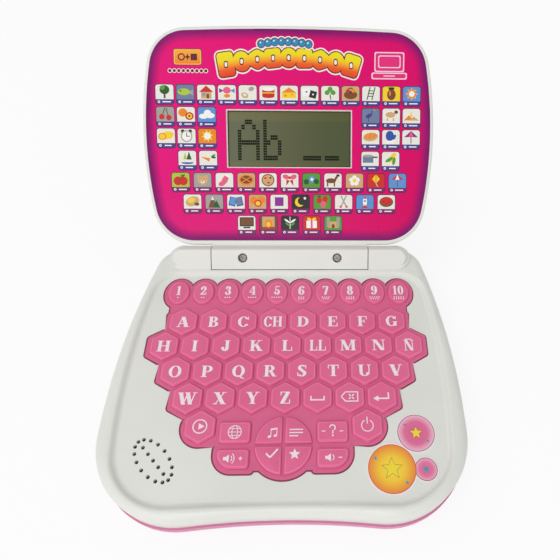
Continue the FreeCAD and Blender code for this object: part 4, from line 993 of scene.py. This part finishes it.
# Each picture is its backing, then shapes: e oval, q rectangle, t triangle, p diamond, s star, c ring;
# with x, y, width, height, turn and ink. A ring has its thickness in place of the turn.
PICTURES = {
    "tree": ("cream", "q 0 -2.6 1.1 3 0 brown", "e 0 .8 5.8 5.2 0 pine", "e -1.2 2 3.2 2.6 0 green"),
    "fish": ("slate", "t 3.3 0 3 3 90 grey", "e -.4 0 6.4 3.4 0 lime", "e -2.2 .5 .8 .8 0 dark"),
    "house": ("cream", "q 0 -1.4 6 3.8 0 tan", "t 0 1.9 8.2 3.6 0 red", "q .9 -2 1.5 2.6 0 brown",
        "q -1.5 -1 1.4 1.4 0 sky"),
    "sweets": ("cream", "t -3.2 .8 2.4 2.4 -90 violet", "t 3.2 .8 2.4 2.4 90 sky",
        "e 0 .8 4 3.4 0 rose", "e 0 -2 3.4 1.8 0 orange"),
    "shells": ("cream", "e 2.2 1.8 3 2.2 20 grey", "e -1.2 -1.4 3.8 2.8 -20 tan",
        "e -1.2 -1.2 2 1.2 -20 cream"),
    "drum": ("cream", "q 0 -.6 6.4 3.6 0 red", "e 0 -2.4 6.4 1.8 0 red", "e 0 1.2 6.4 2 0 white",
        "q 0 -.7 6.4 .5 0 yellow"),
    "cheese": ("cream", "q 0 -1 7.4 3 0 yellow", "t 0 1.4 7.6 2.6 0 orange",
        "e -1.8 -1.2 1.3 1.1 0 orange", "e 1.6 -.7 1 .9 0 orange"),
    "dice": ("cream", "q -1.4 .3 4 4 12 white", "q 2 -1 3.6 3.6 -14 dark", "e -1.4 .3 .9 .9 0 dark",
        "e 2 -1 .9 .9 0 white"),
    "clover": ("cream", "q .2 -2.4 .6 3 8 pine", "e -1.7 .2 3.2 2.8 30 green",
        "e 1.7 .2 3.2 2.8 -30 green", "e 0 2.2 2.9 2.7 0 green"),
    "basket": ("tan", "e 0 -1.4 7 4.4 0 brown", "c 0 .8 3 3 .5 dark", "e -1.4 .6 2 2 0 red",
        "e 1.4 .6 2 2 0 orange"),
    "ladder": ("cream", "q -1.4 0 .6 7.6 -14 pine", "q 1.6 0 .6 7.6 -14 pine", "q 0 1.6 3 .5 0 pine",
        "q 0 0 3 .5 0 pine", "q 0 -1.6 3 .5 0 pine"),
    "jar": ("yellow", "e 0 -.6 4.6 5.6 0 brown", "q 0 2.6 3 1.2 0 dark", "e -.8 0 1 2.6 0 orange"),
    "wheel": ("sky", "s 0 0 9.6 9.6 0 yellow", "s 0 0 9.6 9.6 36 orange", "e 0 0 4.4 4.4 0 white"),
    "cherries": ("grey", "q -.6 1.6 .4 4 -20 pine", "q 1.2 1.4 .4 4.2 16 pine",
        "e -1.6 -1 2.8 2.8 0 red", "e 2 -1.4 2.8 2.8 0 red"),
    "peaches": ("cream", "e -1.6 .8 4.6 4.2 0 orange", "e 1.8 -1 4.4 4 0 red",
        "e 1.8 -1 2.8 2.6 0 yellow", "e 1.8 -1 1.2 1.2 0 brown"),
    "cloud": ("sky", "e -1.8 -1 5 2.8 0 white", "e 1.8 -.6 5 3 0 white", "e .4 .8 4 3.4 0 white"),
    "lemon": ("cream", "e 1 0 7 4.2 12 yellow", "e -1.8 -.6 4.4 3.8 0 orange",
        "e -1.8 -.6 3.2 2.8 0 yellow"),
    "clock": ("cream", "e -2 2.6 1.9 1.6 30 dark", "e 2 2.6 1.9 1.6 -30 dark", "e 0 0 6 6 0 grey",
        "e 0 0 4.8 4.8 0 white", "q 0 .8 .4 2 0 dark", "q .8 0 1.7 .4 0 dark"),
    "sun": ("orange", "s 1.2 .2 8.4 8.4 10 yellow", "e 1.2 .2 4.4 4.4 0 white"),
    "heron": ("slate", "e -.4 -.2 4.6 2.4 30 indigo", "q 1.6 2 .6 3.4 -16 indigo",
        "t 2.8 3.6 .9 2 -100 orange", "q -.6 -2.6 .35 3 0 dark"),
    "sheep": ("cream", "q -1.6 -2.4 .7 2 0 tan", "q 1.6 -2.4 .7 2 0 tan", "e 0 -.2 6.4 3.8 0 white",
        "e 0 -.2 5.4 3 0 tan", "e 3 1.2 2 1.8 0 brown"),
    "dunes": ("cream", "t -1.4 -1 7 3.4 0 orange", "t 2 -1.4 7 2.6 0 tan", "t .2 1.6 2 3.6 0 yellow"),
    "bread": ("cream", "e 0 -.2 8 4.4 8 tan", "e 0 .2 6.6 3 8 orange", "q -1.4 .3 .4 2.4 -20 tan",
        "q .8 .5 .4 2.4 -20 tan"),
    "mitten": ("cream", "e 0 .4 4.4 5.4 0 blue", "e 2.4 -.2 1.6 3 -30 blue",
        "q 0 -2.8 4.4 1.4 0 white"),
    "boat": ("cream", "t 1 1.6 3 4.6 0 pine", "t -1.2 1.4 2.2 3.8 0 lime", "e 0 -2 7 1.8 0 blue",
        "q 0 -1.4 7 .9 0 cream"),
    "carrot": ("cream", "t -1.4 -.6 2.2 6 70 orange", "e 2.8 .8 3 1.4 30 green",
        "e 2.8 -.2 3 1.4 -10 pine"),
    "pot": ("cream", "q 0 -1.2 5.6 3.4 0 slate", "e 0 .6 5.6 1.4 0 grey", "q 3.8 0 2.4 .7 0 dark"),
    "corn": ("cream", "e 0 .2 2.6 6.4 -35 yellow", "e -1.6 -1 1.8 5 -60 green",
        "e 1 -1.8 1.8 4.4 -10 green"),
    "apple": ("lime", "e -1.4 -.6 4.6 4.6 0 red", "e 1.4 -.6 4.6 4.6 0 red", "q .2 2 .4 1.8 -10 brown",
        "e 1.4 2.2 2 .9 30 pine"),
    "teddy": ("grey", "e -2 1.8 2 2 0 tan", "e 2 1.8 2 2 0 tan", "e 0 0 5.4 4.8 0 tan",
        "e 0 -.8 2.2 1.6 0 cream", "e 0 -.5 .8 .6 0 dark"),
    "sock": ("cream", "e .4 .6 3.4 6.6 -30 rose", "e -1.4 -1.6 4.2 2.8 20 rose",
        "q 2 3 3.2 1.2 -30 white"),
    "pie": ("tan", "e 0 0 8 5.6 0 orange", "e 0 .2 6.2 4.2 0 brown", "q 0 .2 6 .5 30 orange",
        "q 0 .2 6 .5 -30 orange"),
    "biscuit": ("cream", "e 0 0 6.8 6.4 0 brown", "e 0 0 5.8 5.4 0 tan", "e -1.4 1 1.3 1.1 0 red",
        "e 1.3 1.2 1.2 1.1 0 brown", "e .2 -1.3 1.4 1.1 0 red"),
    "ribbon": ("cream", "e -2 .8 3.6 2.4 -20 rose", "e 2 .8 3.6 2.4 20 rose",
        "t -1.2 -1.6 1.8 3.2 160 red", "t 1.2 -1.6 1.8 3.2 200 red", "e 0 .4 1.4 1.4 0 red"),
    "garden": ("green", "e -2.8 -1 3 3.2 0 pine", "e .4 .4 3.6 4 0 sky", "e 3 -.8 3 3 0 pine",
        "e .4 .4 1.6 1.8 0 white"),
    "pony": ("cream", "e -.4 -.2 5.4 2.6 0 brown", "q -2.2 -2 .7 2.4 0 brown",
        "q 1.4 -2 .7 2.4 0 brown", "q 2.4 1.4 1.2 3 -30 brown", "e 3.4 2.6 2 1.1 -20 dark"),
    "flower": ("tan", "e 0 1.6 2.4 2.4 0 white", "e 1.6 .4 2.4 2.4 0 white", "e 1 -1.4 2.4 2.4 0 white",
        "e -1 -1.4 2.4 2.4 0 white", "e -1.6 .4 2.4 2.4 0 white", "e 0 0 2 2 0 yellow"),
    "kite": ("red", "p 0 .8 5 6 0 yellow", "q 0 .8 .35 6 0 brown", "q .6 -3 .35 2.4 30 white"),
    "parasol": ("sky", "q 0 -1.4 .5 5 0 brown", "t 0 1.6 7.6 3.2 0 red", "t 0 1.6 2.6 3.2 0 white"),
    "umbrella": ("cream", "t 0 1.2 7.6 3.4 0 violet", "t 0 1.2 2.6 3.4 0 rose",
        "q 0 -1.6 .45 4 0 dark"),
    "bun": ("cream", "e 0 .4 7.4 5 20 tan", "e -.6 1 4 2.4 20 yellow", "e 2.2 -1 2.6 1.8 0 brown"),
    "peak": ("grey", "t -.4 .2 5 7.2 0 brown", "t 1.8 -1 4.6 4.4 0 pine", "t -.4 2.6 1.7 2.4 0 white"),
    "book": ("cream", "q -1.8 0 3.8 5 -12 blue", "q 1.9 0 3.8 5 12 blue", "q -1.7 .2 3 4.2 -12 sky",
        "q 1.8 .2 3 4.2 12 slate"),
    "fruit": ("tan", "e -2 .4 4.2 4 0 orange", "e 2 .6 4.2 4 0 orange", "e .2 -1.2 4 3.8 0 red",
        "e .2 -1.2 2.6 2.4 0 yellow"),
    "square": ("cream", "q 0 .2 4.6 4.6 0 violet"),
    "night": ("dark", "e 0 .4 5 5 0 yellow", "e 1.2 1 4.4 4.4 0 dark", "s 2.8 2.4 1.8 1.8 0 white"),
    "berries": ("green", "e -1.8 .6 3 3.4 0 red", "e 1.4 1.2 3 3.4 0 red", "e .4 -1.6 3 3.4 0 rose",
        "t -1.8 2.6 2 1.2 180 pine"),
    "scissors": ("cream", "q 0 .6 .7 6.4 26 grey", "q 0 .6 .7 6.4 -26 grey",
        "c -1.6 -2.4 1.3 1.3 .5 red", "c 1.6 -2.4 1.3 1.3 .5 red"),
    "rocket": ("sky", "e 0 .4 2.6 6.4 0 white", "t 0 3 2 2 0 red", "t 0 -2.8 4.4 2 0 red",
        "e 0 .8 1.2 1.2 0 blue"),
    "melon": ("cream", "e 0 .6 7.4 5.4 0 pine", "e 0 .9 6.6 4.6 0 red", "e -1.4 .6 .5 .8 0 dark",
        "e 1.4 .6 .5 .8 0 dark", "e 0 -.4 .5 .8 0 dark"),
    "screen": ("cream", "q 0 .4 7.4 4.8 0 dark", "q 0 .5 6.4 3.8 0 brown", "q 0 -2.6 3.6 .8 0 dark"),
    "hearth": ("brown", "q 0 .4 6.6 5.4 0 tan", "e 0 -.6 4 4.2 0 orange", "e 0 -1 2.2 2.8 0 yellow",
        "q 0 -3 6.6 .8 0 red"),
    "fern": ("dark", "q 0 -.4 .4 6.4 0 white", "e -1.6 .6 3.4 1 -36 white", "e 1.6 .6 3.4 1 36 white",
        "e -1.3 -1.2 3 1 -36 green", "e 1.3 -1.2 3 1 36 green"),
    "gift": ("red", "q 0 -.8 5.6 4 0 white", "q 0 -.8 1 4 0 rose", "e -1.3 2 2.4 1.5 -20 yellow",
        "e 1.3 2 2.4 1.5 20 yellow"),
    "castle": ("green", "q 0 -1 6 3.4 0 tan", "q -2.6 .4 1.6 5 0 grey", "q 2.6 .4 1.6 5 0 grey",
        "e 0 -1.8 1.6 2.4 0 brown"),
}

TILE_ROWS = (
    (114.0, [-86.6 + 14.43 * step for step in range(13)], "indigo",
     "tree fish house sweets shells drum cheese dice clover basket ladder jar wheel"),
    (98.9, [-86.6, -72.2, -57.7, 57.7, 72.2, 86.6], "indigo", "cherries peaches cloud heron sheep dunes"),
    (84.1, [-86.6, -72.2, -57.7, 57.7, 72.2, 86.6], "indigo", "lemon clock sun bread mitten umbrella"),
    (68.9, [-72.2, -57.5, 57.5, 72.2], "indigo", "boat carrot pot corn"),
    (53.55, [-77.3 + 15.46 * step for step in range(11)], "plum",
     "apple teddy sock pie biscuit ribbon garden pony flower kite parasol"),
    (38.35, [-69.4 + 15.43 * step for step in range(10)], "plum",
     "bun peak book fruit square night berries scissors rocket melon"),
    (23.25, [-31.1 + 15.55 * step for step in range(5)], "plum", "screen hearth fern gift castle"),
)


def ink(name):
    return ink_names.index(name)


def tile(bm, x, y, backing, strip):
    """A rounded card: dark rim, picture ground and a strip below it with a dot and a line.

    The line's length varies from card to card.
    """
    fresh = bmesh.new()
    tablet(fresh, 0, 0, 0, TILE_WIDE, TILE_TALL, TILE_CORNER, ink(backing))
    bmesh.ops.inset_region(fresh, faces=fresh.faces[:], thickness=TILE_RIM, use_boundary=True,
                           use_even_offset=True)
    inner = max(fresh.faces, key=lambda face: face.calc_area())
    for face in fresh.faces:
        face.material_index = ink(backing) if face is inner else ink("rim")
    split = TILE_STRIP - TILE_TALL / 2
    bmesh.ops.bisect_plane(fresh, geom=fresh.verts[:] + fresh.edges[:] + fresh.faces[:], dist=0.0001,
                           plane_co=(0, split, 0), plane_no=(0, 1, 0))
    for face in fresh.faces:
        if face.calc_center_median().y < split and face.material_index == ink(backing):
            face.material_index = ink(strip)
    add_to(bm, fresh, Matrix.Translation((x, y, CARD_LEVEL)))
    foot = y - TILE_TALL / 2 + 2.1
    length = 4.6 + 1.6 * ((7 * x + 3 * y) % 1.0)
    spot(bm, x - 4.1, foot, PICTURE_LEVEL, 1.8, 1.8, ink("white"), 12)
    spot(bm, x - 4.1, foot, PICTURE_LEVEL + SHAPE_STEP, 0.8, 0.8, ink(strip), 8)
    slab(bm, x + 1.3, foot, PICTURE_LEVEL, length, 0.75, ink("white"))


def picture(bm, x, y, shapes):
    """Draws a picture round a place, as large as its card allows."""
    level = PICTURE_LEVEL
    before = set(bm.verts)
    for drawn in shapes:
        kind, *numbers, colour = drawn.split()
        px, py, wide, deep, turn = [float(number) for number in numbers]
        colour = ink(colour)
        if kind == "e":
            spot(bm, px, py, level, wide, deep, colour, 18, turn)
        elif kind == "q":
            slab(bm, px, py, level, wide, deep, colour, turn)
        elif kind == "t":
            spot(bm, px, py - deep / 12, level, wide * 1.155, deep * 1.33, colour, 3, turn)
        elif kind == "p":
            spot(bm, px, py, level, wide, deep, colour, 4, turn)
        elif kind == "s":
            star(bm, px, py, level, wide, colour, 8 if wide > 5 else 5, 0.55, turn)
        elif kind == "c":
            ring(bm, px, py, level, wide / 2, deep / 2, turn, turn, 0, 360, colour, 16)
        level += SHAPE_STEP
    whole = added(bm, before)
    xs, ys = [corner.co.x for corner in whole], [corner.co.y for corner in whole]
    grow = min(PICTURE_WIDE / (max(xs) - min(xs)), PICTURE_TALL / (max(ys) - min(ys)), 1.35)
    shift = Matrix.Translation((-halfway(xs), -halfway(ys), 0))
    size = Matrix.Diagonal((grow, grow, 1, 1))
    bmesh.ops.transform(bm, matrix=Matrix.Translation((x, y, 0)) @ size @ shift, verts=whole)


def picture_cards():
    bm = bmesh.new()
    for y, across, strip, names in TILE_ROWS:
        for x, name in zip(across, names.split()):
            backing, *shapes = PICTURES[name]
            tile(bm, x, y, backing, strip)
            picture(bm, x, y + PICTURE_RISE, shapes)
    return piece("picture_cards", bm, ink_finishes, "lid", LID, INK_FILM)


picture_cards()


# heading of the panel

HEADING_BOW = 0.0026
BEAD_BOW = 0.006
heading_fill = bow_print("heading_fill", HEADING_BOW, (
    (131, paint(226, 52, 30)), (136, paint(240, 96, 32)), (139.5, paint(250, 178, 40)),
    (142, paint(240, 220, 20)), (147, paint(244, 226, 24))))
heading_line = printed("heading_line", paint(96, 34, 30))
heading_edge = printed("heading_edge", paint(250, 240, 236))
heading_blue = printed("heading_blue", paint(44, 150, 196), paint(30, 120, 172))
badge_fill = bow_print("badge_fill", 0.0, ((133, paint(240, 120, 30)), (145, paint(252, 178, 52))), 0.28)
badge_edge = printed("badge_edge", paint(250, 206, 90))
mark_dark = printed("mark_dark", paint(92, 28, 40))
mark_white = printed("mark_white", paint(250, 214, 230))
mark_magenta = printed("mark_magenta", paint(232, 44, 124))


def heading():
    """A bow of building blocks, round, square and six-sided, with a row of beads above."""
    inks = [heading_edge, heading_line, heading_fill, heading_blue]
    bm = bmesh.new()
    shapes = ("square", "round", "six", "square", "round", "square", "six", "round", "square")
    sizes = (16.4, 13.6, 13.4, 12.6, 13.0, 12.6, 13.6, 13.8, 14.8)
    blocks = [(x, 139.4 - HEADING_BOW * x * x) for x in (-43.6 + 10.9 * step for step in range(9))]
    for layer, (grow, colour) in enumerate(((3.4, 0), (1.5, 1), (0, 2))):
        for step, ((x, y), shape, size) in enumerate(zip(blocks, shapes, sizes)):
            level = PANEL_TOP + 0.012 + 0.012 * layer + 0.0006 * step
            turn = math.degrees(math.atan(-2 * HEADING_BOW * x)) + (4 if step % 2 else -4)
            if shape == "square":
                tablet(bm, x, y, level, 11.2 + grow, size + grow, 2.2 + grow / 2, colour, 5, turn)
            elif shape == "round":
                spot(bm, x, y, level, 12.0 + grow, size + grow, colour, 40, turn)
            else:
                chip(bm, x, y, level, size + 0.6 + grow * 1.15, 6, 1.6 + grow / 3, colour, turn)
    for x, y in blocks:
        for layer, (size, colour) in enumerate(((3.6, 1), (2.3, 0))):
            level = PANEL_TOP + 0.046 + 0.008 * layer
            tablet(bm, x, y, level, size * 0.8, size * 1.4, size * 0.38, colour, 4)
    beads = [(x, 150.1 - BEAD_BOW * (x + 2.5) ** 2) for x in (-19.0 + 4.7 * step for step in range(8))]
    for layer, (grow, colour) in enumerate(((2.6, 0), (1.1, 1), (0, 3))):
        for step, (x, y) in enumerate(beads):
            level = PANEL_TOP + 0.062 + 0.01 * layer + 0.0005 * step
            spot(bm, x, y, level, 4.6 + grow, 4.9 + grow, colour, 20)
    for x, y in beads:
        spot(bm, x - 0.5, y + 0.8, PANEL_TOP + 0.095, 1.3, 1.0, 0, 10, 30)
    return piece("panel_heading", bm, inks, "lid", LID, INK_FILM)


def badge():
    """A plate with three plain signs, over a string of beads."""
    inks = [badge_fill, mark_dark, badge_edge, heading_edge]
    bm = bmesh.new()
    x, y = -70, 139.2
    for layer, (less, corner, colour) in enumerate(((0, 1.7, 1), (0.8, 1.4, 2), (2.0, 1.0, 0))):
        level = PANEL_TOP + 0.015 + 0.008 * layer
        tablet(bm, x, y, level, 19.6 - less, 11.0 - less, corner, colour)
    level = PANEL_TOP + 0.04
    ring(bm, x - 4.2, y, level, 2.5, 2.5, 0.9, 0.9, 0, 360, 1, 24)
    star(bm, x, y, level, 4.6, 1, 4, 0.4)
    slab(bm, x + 4.4, y, level, 4.4, 4.4, 1)
    for layer, (size, colour) in enumerate(((3.1, 3), (2.2, 1))):
        for step in range(9):
            spot(bm, -82.4 + 3.1 * step, 130, PANEL_TOP + 0.02 + 0.008 * layer, size, size, colour, 14)
    return piece("panel_badge", bm, inks, "lid", LID, INK_FILM)


def corner_mark():
    """A small open computer in white outline."""
    bm = bmesh.new()
    x = 70.4
    level = PANEL_TOP + 0.015
    for wide, deep, y, colour in ((21, 13.5, 137.2, 0), (19.4, 11.9, 137.2, 1),
                                  (15.8, 8.5, 137.4, 0), (14.4, 7.1, 137.4, 1)):
        tablet(bm, x, y, level, wide, deep, 1.3, colour)
        level += 0.008
    level = PANEL_TOP + 0.017
    for wide, deep, colour in ((25, 4.6, 0), (23.4, 3.0, 1)):
        tablet(bm, x, 127.8, level, wide, deep, 1.2, colour)
        level += 0.008
    slab(bm, x, 127.8, level, 8, 0.7, 0)
    return piece("panel_corner_mark", bm, [mark_white, mark_magenta], "lid", LID, INK_FILM)


heading()
badge()
corner_mark()


# display

GLASS_TOP = -1.7
DISPLAY_Y = 84.1
DOT_COLUMN, DOT_ROW = 2.57, 3.57
display_dot = printed("display_dot", paint(18, 20, 12), paint(24, 27, 17), 0.3, 0.03)
# dark ink for a thin line round the glass: a painted shadow at the window's edge
display_painted_shadow = printed("display_painted_shadow", paint(62, 48, 44), paint(54, 42, 38), 0.3, 0.03)


def display_ground():
    """Olive liquid crystal, lighter at the left, with a faint frame round its active field."""
    finish, tree, place = new_finish("display_ground")
    there = on_lid(tree, place)
    along = between(tree, one_of(tree, there, "X"), -0.044, 0.044, 0.0, 1.0)
    tone = shades(tree, along, (0.0, paint(104, 109, 84)), (0.45, paint(93, 96, 66)),
                  (0.8, paint(78, 86, 54)), (1.0, paint(75, 83, 51)))
    up = between(tree, one_of(tree, there, "Y"), 0.0646, 0.1036, 0.0, 1.0)
    plain = (1.0, 1.0, 1.0, 1)
    veil = shades(tree, up, (0.0, (1.3, 1.16, 0.98, 1)), (0.12, plain), (0.8, plain),
                  (0.84, (1.24, 1.14, 0.98, 1)))
    return surfaced(finish, {
        "Base Color": add(tree, "VectorMath", "Vector", {0: tone, 1: veil}, operation="MULTIPLY"),
        "Roughness": uneven(tree, place, 0.02, 0.16, 0.24, 2),
        "Specular IOR Level": 0.25,
    })


for place in node["lcd_panel"].material_slots:
    place.material = display_ground()

# each sign is its first column and its rows from the top
DISPLAY_SIGNS = (
    (0, "..##.. .#..#. #....# #....# ###### #....# #....# #....#"),
    (7, "#.... #.... #.... #.##. ##..# #...# #...# ####."),
    (18, "..... ..... ..... ..... ..... ..... ..... #####"),
    (24, ".... .... .... .... .... .... .... ####"),
)


def display_dots():
    """The dots that are on, and a painted shadow line where the glass meets its window."""
    bm = bmesh.new()
    # a dark line along each edge of the glass: painted shadow
    for side in SIDES:
        slab(bm, 43.2 * side, DISPLAY_Y, GLASS_TOP + 0.02, 0.6, 39, 1)
        slab(bm, 0, DISPLAY_Y + 19.2 * side, GLASS_TOP + 0.024, 87, 0.6, 1)
    for column, rows in DISPLAY_SIGNS:
        for down, row in enumerate(rows.split()):
            for across, cell in enumerate(row):
                if cell != "#":
                    continue
                for sub in range(4):
                    x = -36.0 + DOT_COLUMN * (column + across) + 1.28 * (sub % 2)
                    y = 96.9 - DOT_ROW * (down + sub // 2 / 2)
                    slab(bm, x, y, GLASS_TOP + INK_RISE, 1.14, 1.42)
    return piece("display_dots", bm, [display_dot, display_painted_shadow], "lid", LID, INK_FILM)


display_dots()


# sticker on the deck

sticker_white = printed("sticker_white", paint(246, 240, 242))
for place in node["deck_sticker"].material_slots:
    place.material = sticker_white
GOLD_BUBBLE, PINK_BUBBLE, ROSE_BUBBLE = (63.3, -61.4), (79.2, -40.7), (83, -62)


def sticker_print():
    """Three plain bubbles with thin rims, and stars across them."""
    deep_pink, pale_pink = paint(222, 96, 144), paint(246, 190, 212)
    inks = [
        round_print("bubble_gold", *GOLD_BUBBLE,
                    ((0, paint(252, 224, 70)), (7, paint(250, 206, 50)), (14, paint(238, 130, 50)))),
        round_print("bubble_pink", *PINK_BUBBLE,
                    ((0, deep_pink), (7, paint(226, 110, 154)), (11, pale_pink))),
        round_print("bubble_rose", *ROSE_BUBBLE,
                    ((0, deep_pink), (4, paint(230, 120, 160)), (7, pale_pink))),
        printed("bubble_rim", paint(120, 60, 70)), printed("bubble_red", paint(222, 70, 60)),
        printed("bubble_star", paint(250, 226, 60)), printed("bubble_blue", paint(60, 160, 190)),
    ]
    bm = bmesh.new()
    level = DECK_TOP + STICKER_THICK + INK_RISE
    for place, across, fill, rim in ((ROSE_BUBBLE, 13.2, 2, 3), (PINK_BUBBLE, 22.4, 1, 3),
                                     (GOLD_BUBBLE, 28.0, 0, 4)):
        spot(bm, *place, level, across, across, rim, 48)
        spot(bm, *place, level + 0.008, across - 0.7, across - 0.7, fill, 48)
        level += 0.016
    for place, size, colour in (
        (GOLD_BUBBLE, 13, 3), (GOLD_BUBBLE, 12, 5), (PINK_BUBBLE, 8.4, 3), (PINK_BUBBLE, 7.6, 5),
        (ROSE_BUBBLE, 4.4, 6), ((53.9, -55.4), 2.6, 6), ((71.4, -69.4), 2.6, 6), ((72.8, -35.7), 2.2, 6),
        ((85.8, -45.7), 2.2, 6),
    ):
        star(bm, *place, level, size, colour)
        level += 0.004
    return piece("sticker_print", bm, inks, "base", BASE, INK_FILM)


sticker_print()


# studio

FLOOR_HALF = 3.0
FLOOR_GLOW = 0.86
WORLD_FILL = 0.55
LAMPS_AIM = Vector((0, 0.05, 0.05))
LAMPS = (("soft_box_left", (-0.9, 0.1, 1.5), 1.4, 6.0), ("soft_box_front", (-0.3, -1.5, 0.9), 1.2, 10.5))


def background_rays(tree):
    """1 for rays that show the background: those of the camera, of reflections and through glass."""
    shown = add(tree, "LightPath", "Is Camera Ray", {})
    rays = shown.node
    for kind in ("Is Glossy Ray", "Is Transmission Ray"):
        shown = reckoned(tree, "MAXIMUM", shown, rays.outputs[kind])
    return shown


def two_way(tree, output, share, first, second):
    """Sends two shaders to an output, the second by its share."""
    mix = add(tree, "MixShader", 0, {"Fac": share, 1: first, 2: second})
    tree.links.new(mix, tree.nodes.new("ShaderNode" + output).inputs["Surface"])


def lit(tree, kind, strength):
    """A shader that shines white."""
    return add(tree, kind, 0, {"Color": (1.0, 1.0, 1.0, 1), "Strength": strength})


def studio():
    ground = bmesh.new()
    bmesh.ops.create_grid(ground, x_segments=1, y_segments=1, size=FLOOR_HALF)
    mesh = bpy.data.meshes.new("floor")
    ground.to_mesh(mesh)
    ground.free()
    floor = bpy.data.objects.new("floor", mesh)
    floor.location = (0, 0, -0.0002)
    scene.collection.objects.link(floor)
    pale, tree = new_finish("pale_floor")[:2]
    matt = add(tree, "BsdfDiffuse", 0, {"Color": (0.98, 0.98, 0.98, 1)})
    seen = reckoned(tree, "MULTIPLY", background_rays(tree), FLOOR_GLOW)
    two_way(tree, "OutputMaterial", seen, matt, lit(tree, "Emission", 1.0))
    mesh.materials.append(pale)

    world = bpy.data.worlds.new("studio")
    scene.world = world
    world.use_nodes = True
    tree = world.node_tree
    tree.nodes.clear()
    fill, white = lit(tree, "Background", WORLD_FILL), lit(tree, "Background", 1.0)
    two_way(tree, "OutputWorld", background_rays(tree), fill, white)

    for name, hung_at, size, power in LAMPS:
        lamp = bpy.data.lights.new(name, "AREA")
        lamp.shape = "SQUARE"
        lamp.size = size
        lamp.energy = power
        hung = bpy.data.objects.new(name, lamp)
        hung.location = hung_at
        hung.rotation_euler = (LAMPS_AIM - Vector(hung_at)).to_track_quat("-Z", "Y").to_euler()
        scene.collection.objects.link(hung)


def camera():
    lens = bpy.data.cameras.new("camera")
    lens.sensor_width = 36.0
    lens.lens = 34.419
    lens.shift_x, lens.shift_y = -0.1036, -0.0019
    lens.clip_start = 0.01
    stand = bpy.data.objects.new("camera", lens)
    stand.location = (0.022519, -0.144744, 0.344841)
    stand.rotation_euler = (math.radians(34.336), math.radians(-1.4155), math.radians(-1.0793))
    scene.collection.objects.link(stand)
    scene.camera = stand


studio()
camera()
scene.view_settings.view_transform = "Standard"
